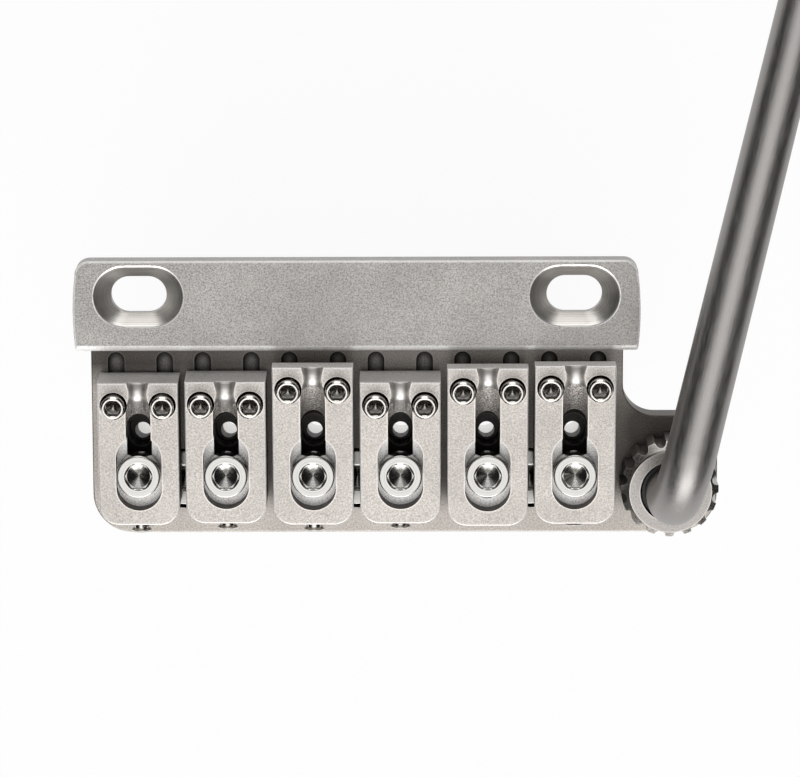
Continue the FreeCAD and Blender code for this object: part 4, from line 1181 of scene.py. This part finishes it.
class BRIDGE_OT_stage(bpy.types.Operator):
    """Set up the floor, the lamps and the camera"""

    bl_idname = "bridge.stage"
    bl_label = "Stage"

    def execute(self, context):
        studio = context.scene.bridge_studio
        context.scene.view_settings.view_transform = "Standard"
        self.light_world(context, studio)
        self.lay_floor(context, studio)
        self.hang_softboxes(context, studio)
        self.stand_flags(context, studio)
        self.aim_camera(context, studio)
        return {"FINISHED"}

    def light_world(self, context, studio):
        world = bpy.data.worlds.new("surround")
        world.use_nodes = True
        shine = world.node_tree.nodes["Background"]
        wiring = Wiring(world.node_tree)
        wiring.feed(shine, {"Color": opaque(context.scene.bridge_colours.backdrop)})
        seen = wiring.add("ShaderNodeLightPath").outputs["Is Camera Ray"]
        strength = wiring.spread(seen, studio.world_strength, 1.0)
        wiring.feed(shine, {"Strength": strength})
        context.scene.world = world

    def stand_card(self, context, name, matrix, material):
        """A flat card of the stage: a square two metres wide that a matrix sizes and places."""
        bm = bmesh.new()
        bmesh.ops.create_grid(bm, x_segments=1, y_segments=1, size=1.0, matrix=matrix)
        mesh = bpy.data.meshes.new(name)
        bm.to_mesh(mesh)
        bm.free()
        mesh.materials.append(material)
        card = bpy.data.objects.new(name, mesh)
        context.scene.collection.objects.link(card)
        return card

    def lay_floor(self, context, studio):
        """A white floor that keeps a little of the bridge's shadow."""
        material, wiring, shader = new_material("floor white", metallic=0.0)
        shade = opaque(context.scene.bridge_colours.backdrop)
        wiring.feed(shader, {"Base Color": shade, "Roughness": 1.0, "Specular IOR Level": 0.0})
        path = wiring.add("ShaderNodeLightPath").outputs
        seen = wiring.math("ADD", path["Is Camera Ray"], path["Is Glossy Ray"])
        seen = wiring.math("ADD", seen, path["Is Transmission Ray"], clamp=True)
        glow = wiring.add("ShaderNodeEmission", {"Color": shade, "Strength": 1.0})
        bright = wiring.math("MULTIPLY", seen, 1 - studio.shadow_share)
        mixed = wiring.add(
            "ShaderNodeMixShader", {0: bright, 1: shader.outputs["BSDF"], 2: glow.outputs["Emission"]},
        )
        wiring.feed(material.node_tree.nodes["Material Output"], {"Surface": mixed.outputs["Shader"]})
        level = Matrix.Translation((0, 0, cad_box[0].z))
        self.stand_card(context, "floor", level @ Matrix.Scale(studio.floor_reach, 4), material)

    def softbox(self, context, name, place, across, along, radiance):
        lamp = bpy.data.lights.new(name, "AREA")
        lamp.shape = "RECTANGLE"
        lamp.size = across
        lamp.size_y = along
        lamp.energy = radiance * math.pi * across * along
        lamp_object = bpy.data.objects.new(name, lamp)
        lamp_object.location = place
        lamp_object.rotation_euler = (-Vector(place)).to_track_quat("-Z", "Y").to_euler()
        context.scene.collection.objects.link(lamp_object)

    def hang_softboxes(self, context, studio):
        self.softbox(
            context, "overhead softbox", studio.key_place, studio.key_across, studio.key_along,
            studio.key_strength,
        )
        self.softbox(
            context, "neck softbox", studio.neck_place, studio.neck_across, studio.neck_along,
            studio.neck_strength,
        )
        self.softbox(
            context, "rear softbox", studio.rear_place, studio.rear_across, studio.rear_along,
            studio.rear_strength,
        )

    def stand_flags(self, context, studio):
        """Black cards on both sides, which the polished steel mirrors and the camera doesn't see."""
        material, wiring, shader = new_material("flag black", metallic=0.0)
        shade = opaque(context.scene.bridge_colours.flag)
        wiring.feed(shader, {"Base Color": shade, "Specular IOR Level": 0.0})
        foot = cad_box[0].z
        upright = Matrix.Rotation(math.radians(90), 4, "Y")
        for name, x, top in (
            ("bass flag", -studio.flag_reach, studio.bass_flag_top),
            ("treble flag", studio.flag_reach, studio.treble_flag_top),
        ):
            size = Matrix.Diagonal(((top - foot) / 2, studio.flag_half_length, 1, 1))
            middle = Matrix.Translation((x, 0, (foot + top) / 2))
            flag = self.stand_card(context, name, middle @ upright @ size, material)
            flag.visible_camera = False

    def aim_camera(self, context, studio):
        turn = Matrix.Rotation(studio.roll, 3, "Z")
        turn = turn @ Matrix.Rotation(studio.lean_to_side, 3, "Y")
        turn = turn @ Matrix.Rotation(studio.lean_to_neck, 3, "X")
        stand = turn.transposed()
        place = Vector(studio.aim) + stand @ Vector((0, 0, studio.distance))
        data = bpy.data.cameras.new("photo camera")
        data.lens = studio.lens
        data.shift_x = studio.shift_x
        data.shift_y = studio.shift_y
        camera = bpy.data.objects.new("photo camera", data)
        camera.matrix_world = Matrix.Translation(place) @ stand.to_4x4()
        context.scene.collection.objects.link(camera)
        context.scene.camera = camera


class BRIDGE_PT_looks(bpy.types.Panel):
    """Lists the steps that dress the bridge"""

    bl_label = "Tremolo bridge"
    bl_idname = "BRIDGE_PT_looks"
    bl_space_type = "VIEW_3D"
    bl_region_type = "UI"
    bl_category = "Bridge"

    def draw(self, context):
        for operator in OPERATORS:
            self.layout.operator(operator.bl_idname)
        for name, group in SETTINGS.items():
            box = self.layout.box()
            box.label(text=group.__doc__)
            for field in group.__annotations__:
                box.prop(getattr(context.scene, name), field)


OPERATORS = (
    BRIDGE_OT_plates,
    BRIDGE_OT_saddles,
    BRIDGE_OT_height_screws,
    BRIDGE_OT_lock_screws,
    BRIDGE_OT_intonation_screws,
    BRIDGE_OT_block_screws,
    BRIDGE_OT_hinge,
    BRIDGE_OT_tension_nut,
    BRIDGE_OT_arm,
    BRIDGE_OT_stage,
)
CLASSES = (*SETTINGS.values(), *OPERATORS, BRIDGE_PT_looks)
register_classes, unregister_classes = bpy.utils.register_classes_factory(CLASSES)


def register():
    register_classes()
    for name, group in SETTINGS.items():
        setattr(bpy.types.Scene, name, PointerProperty(type=group))


def unregister():
    for name in SETTINGS:
        delattr(bpy.types.Scene, name)
    unregister_classes()


def main():
    register()
    bpy.ops.bridge.plates()
    bpy.ops.bridge.saddles()
    bpy.ops.bridge.height_screws()
    bpy.ops.bridge.lock_screws()
    bpy.ops.bridge.intonation_screws()
    bpy.ops.bridge.block_screws()
    bpy.ops.bridge.hinge()
    bpy.ops.bridge.tension_nut()
    bpy.ops.bridge.arm()
    bpy.ops.bridge.stage()


if __name__ == "__main__":
    main()
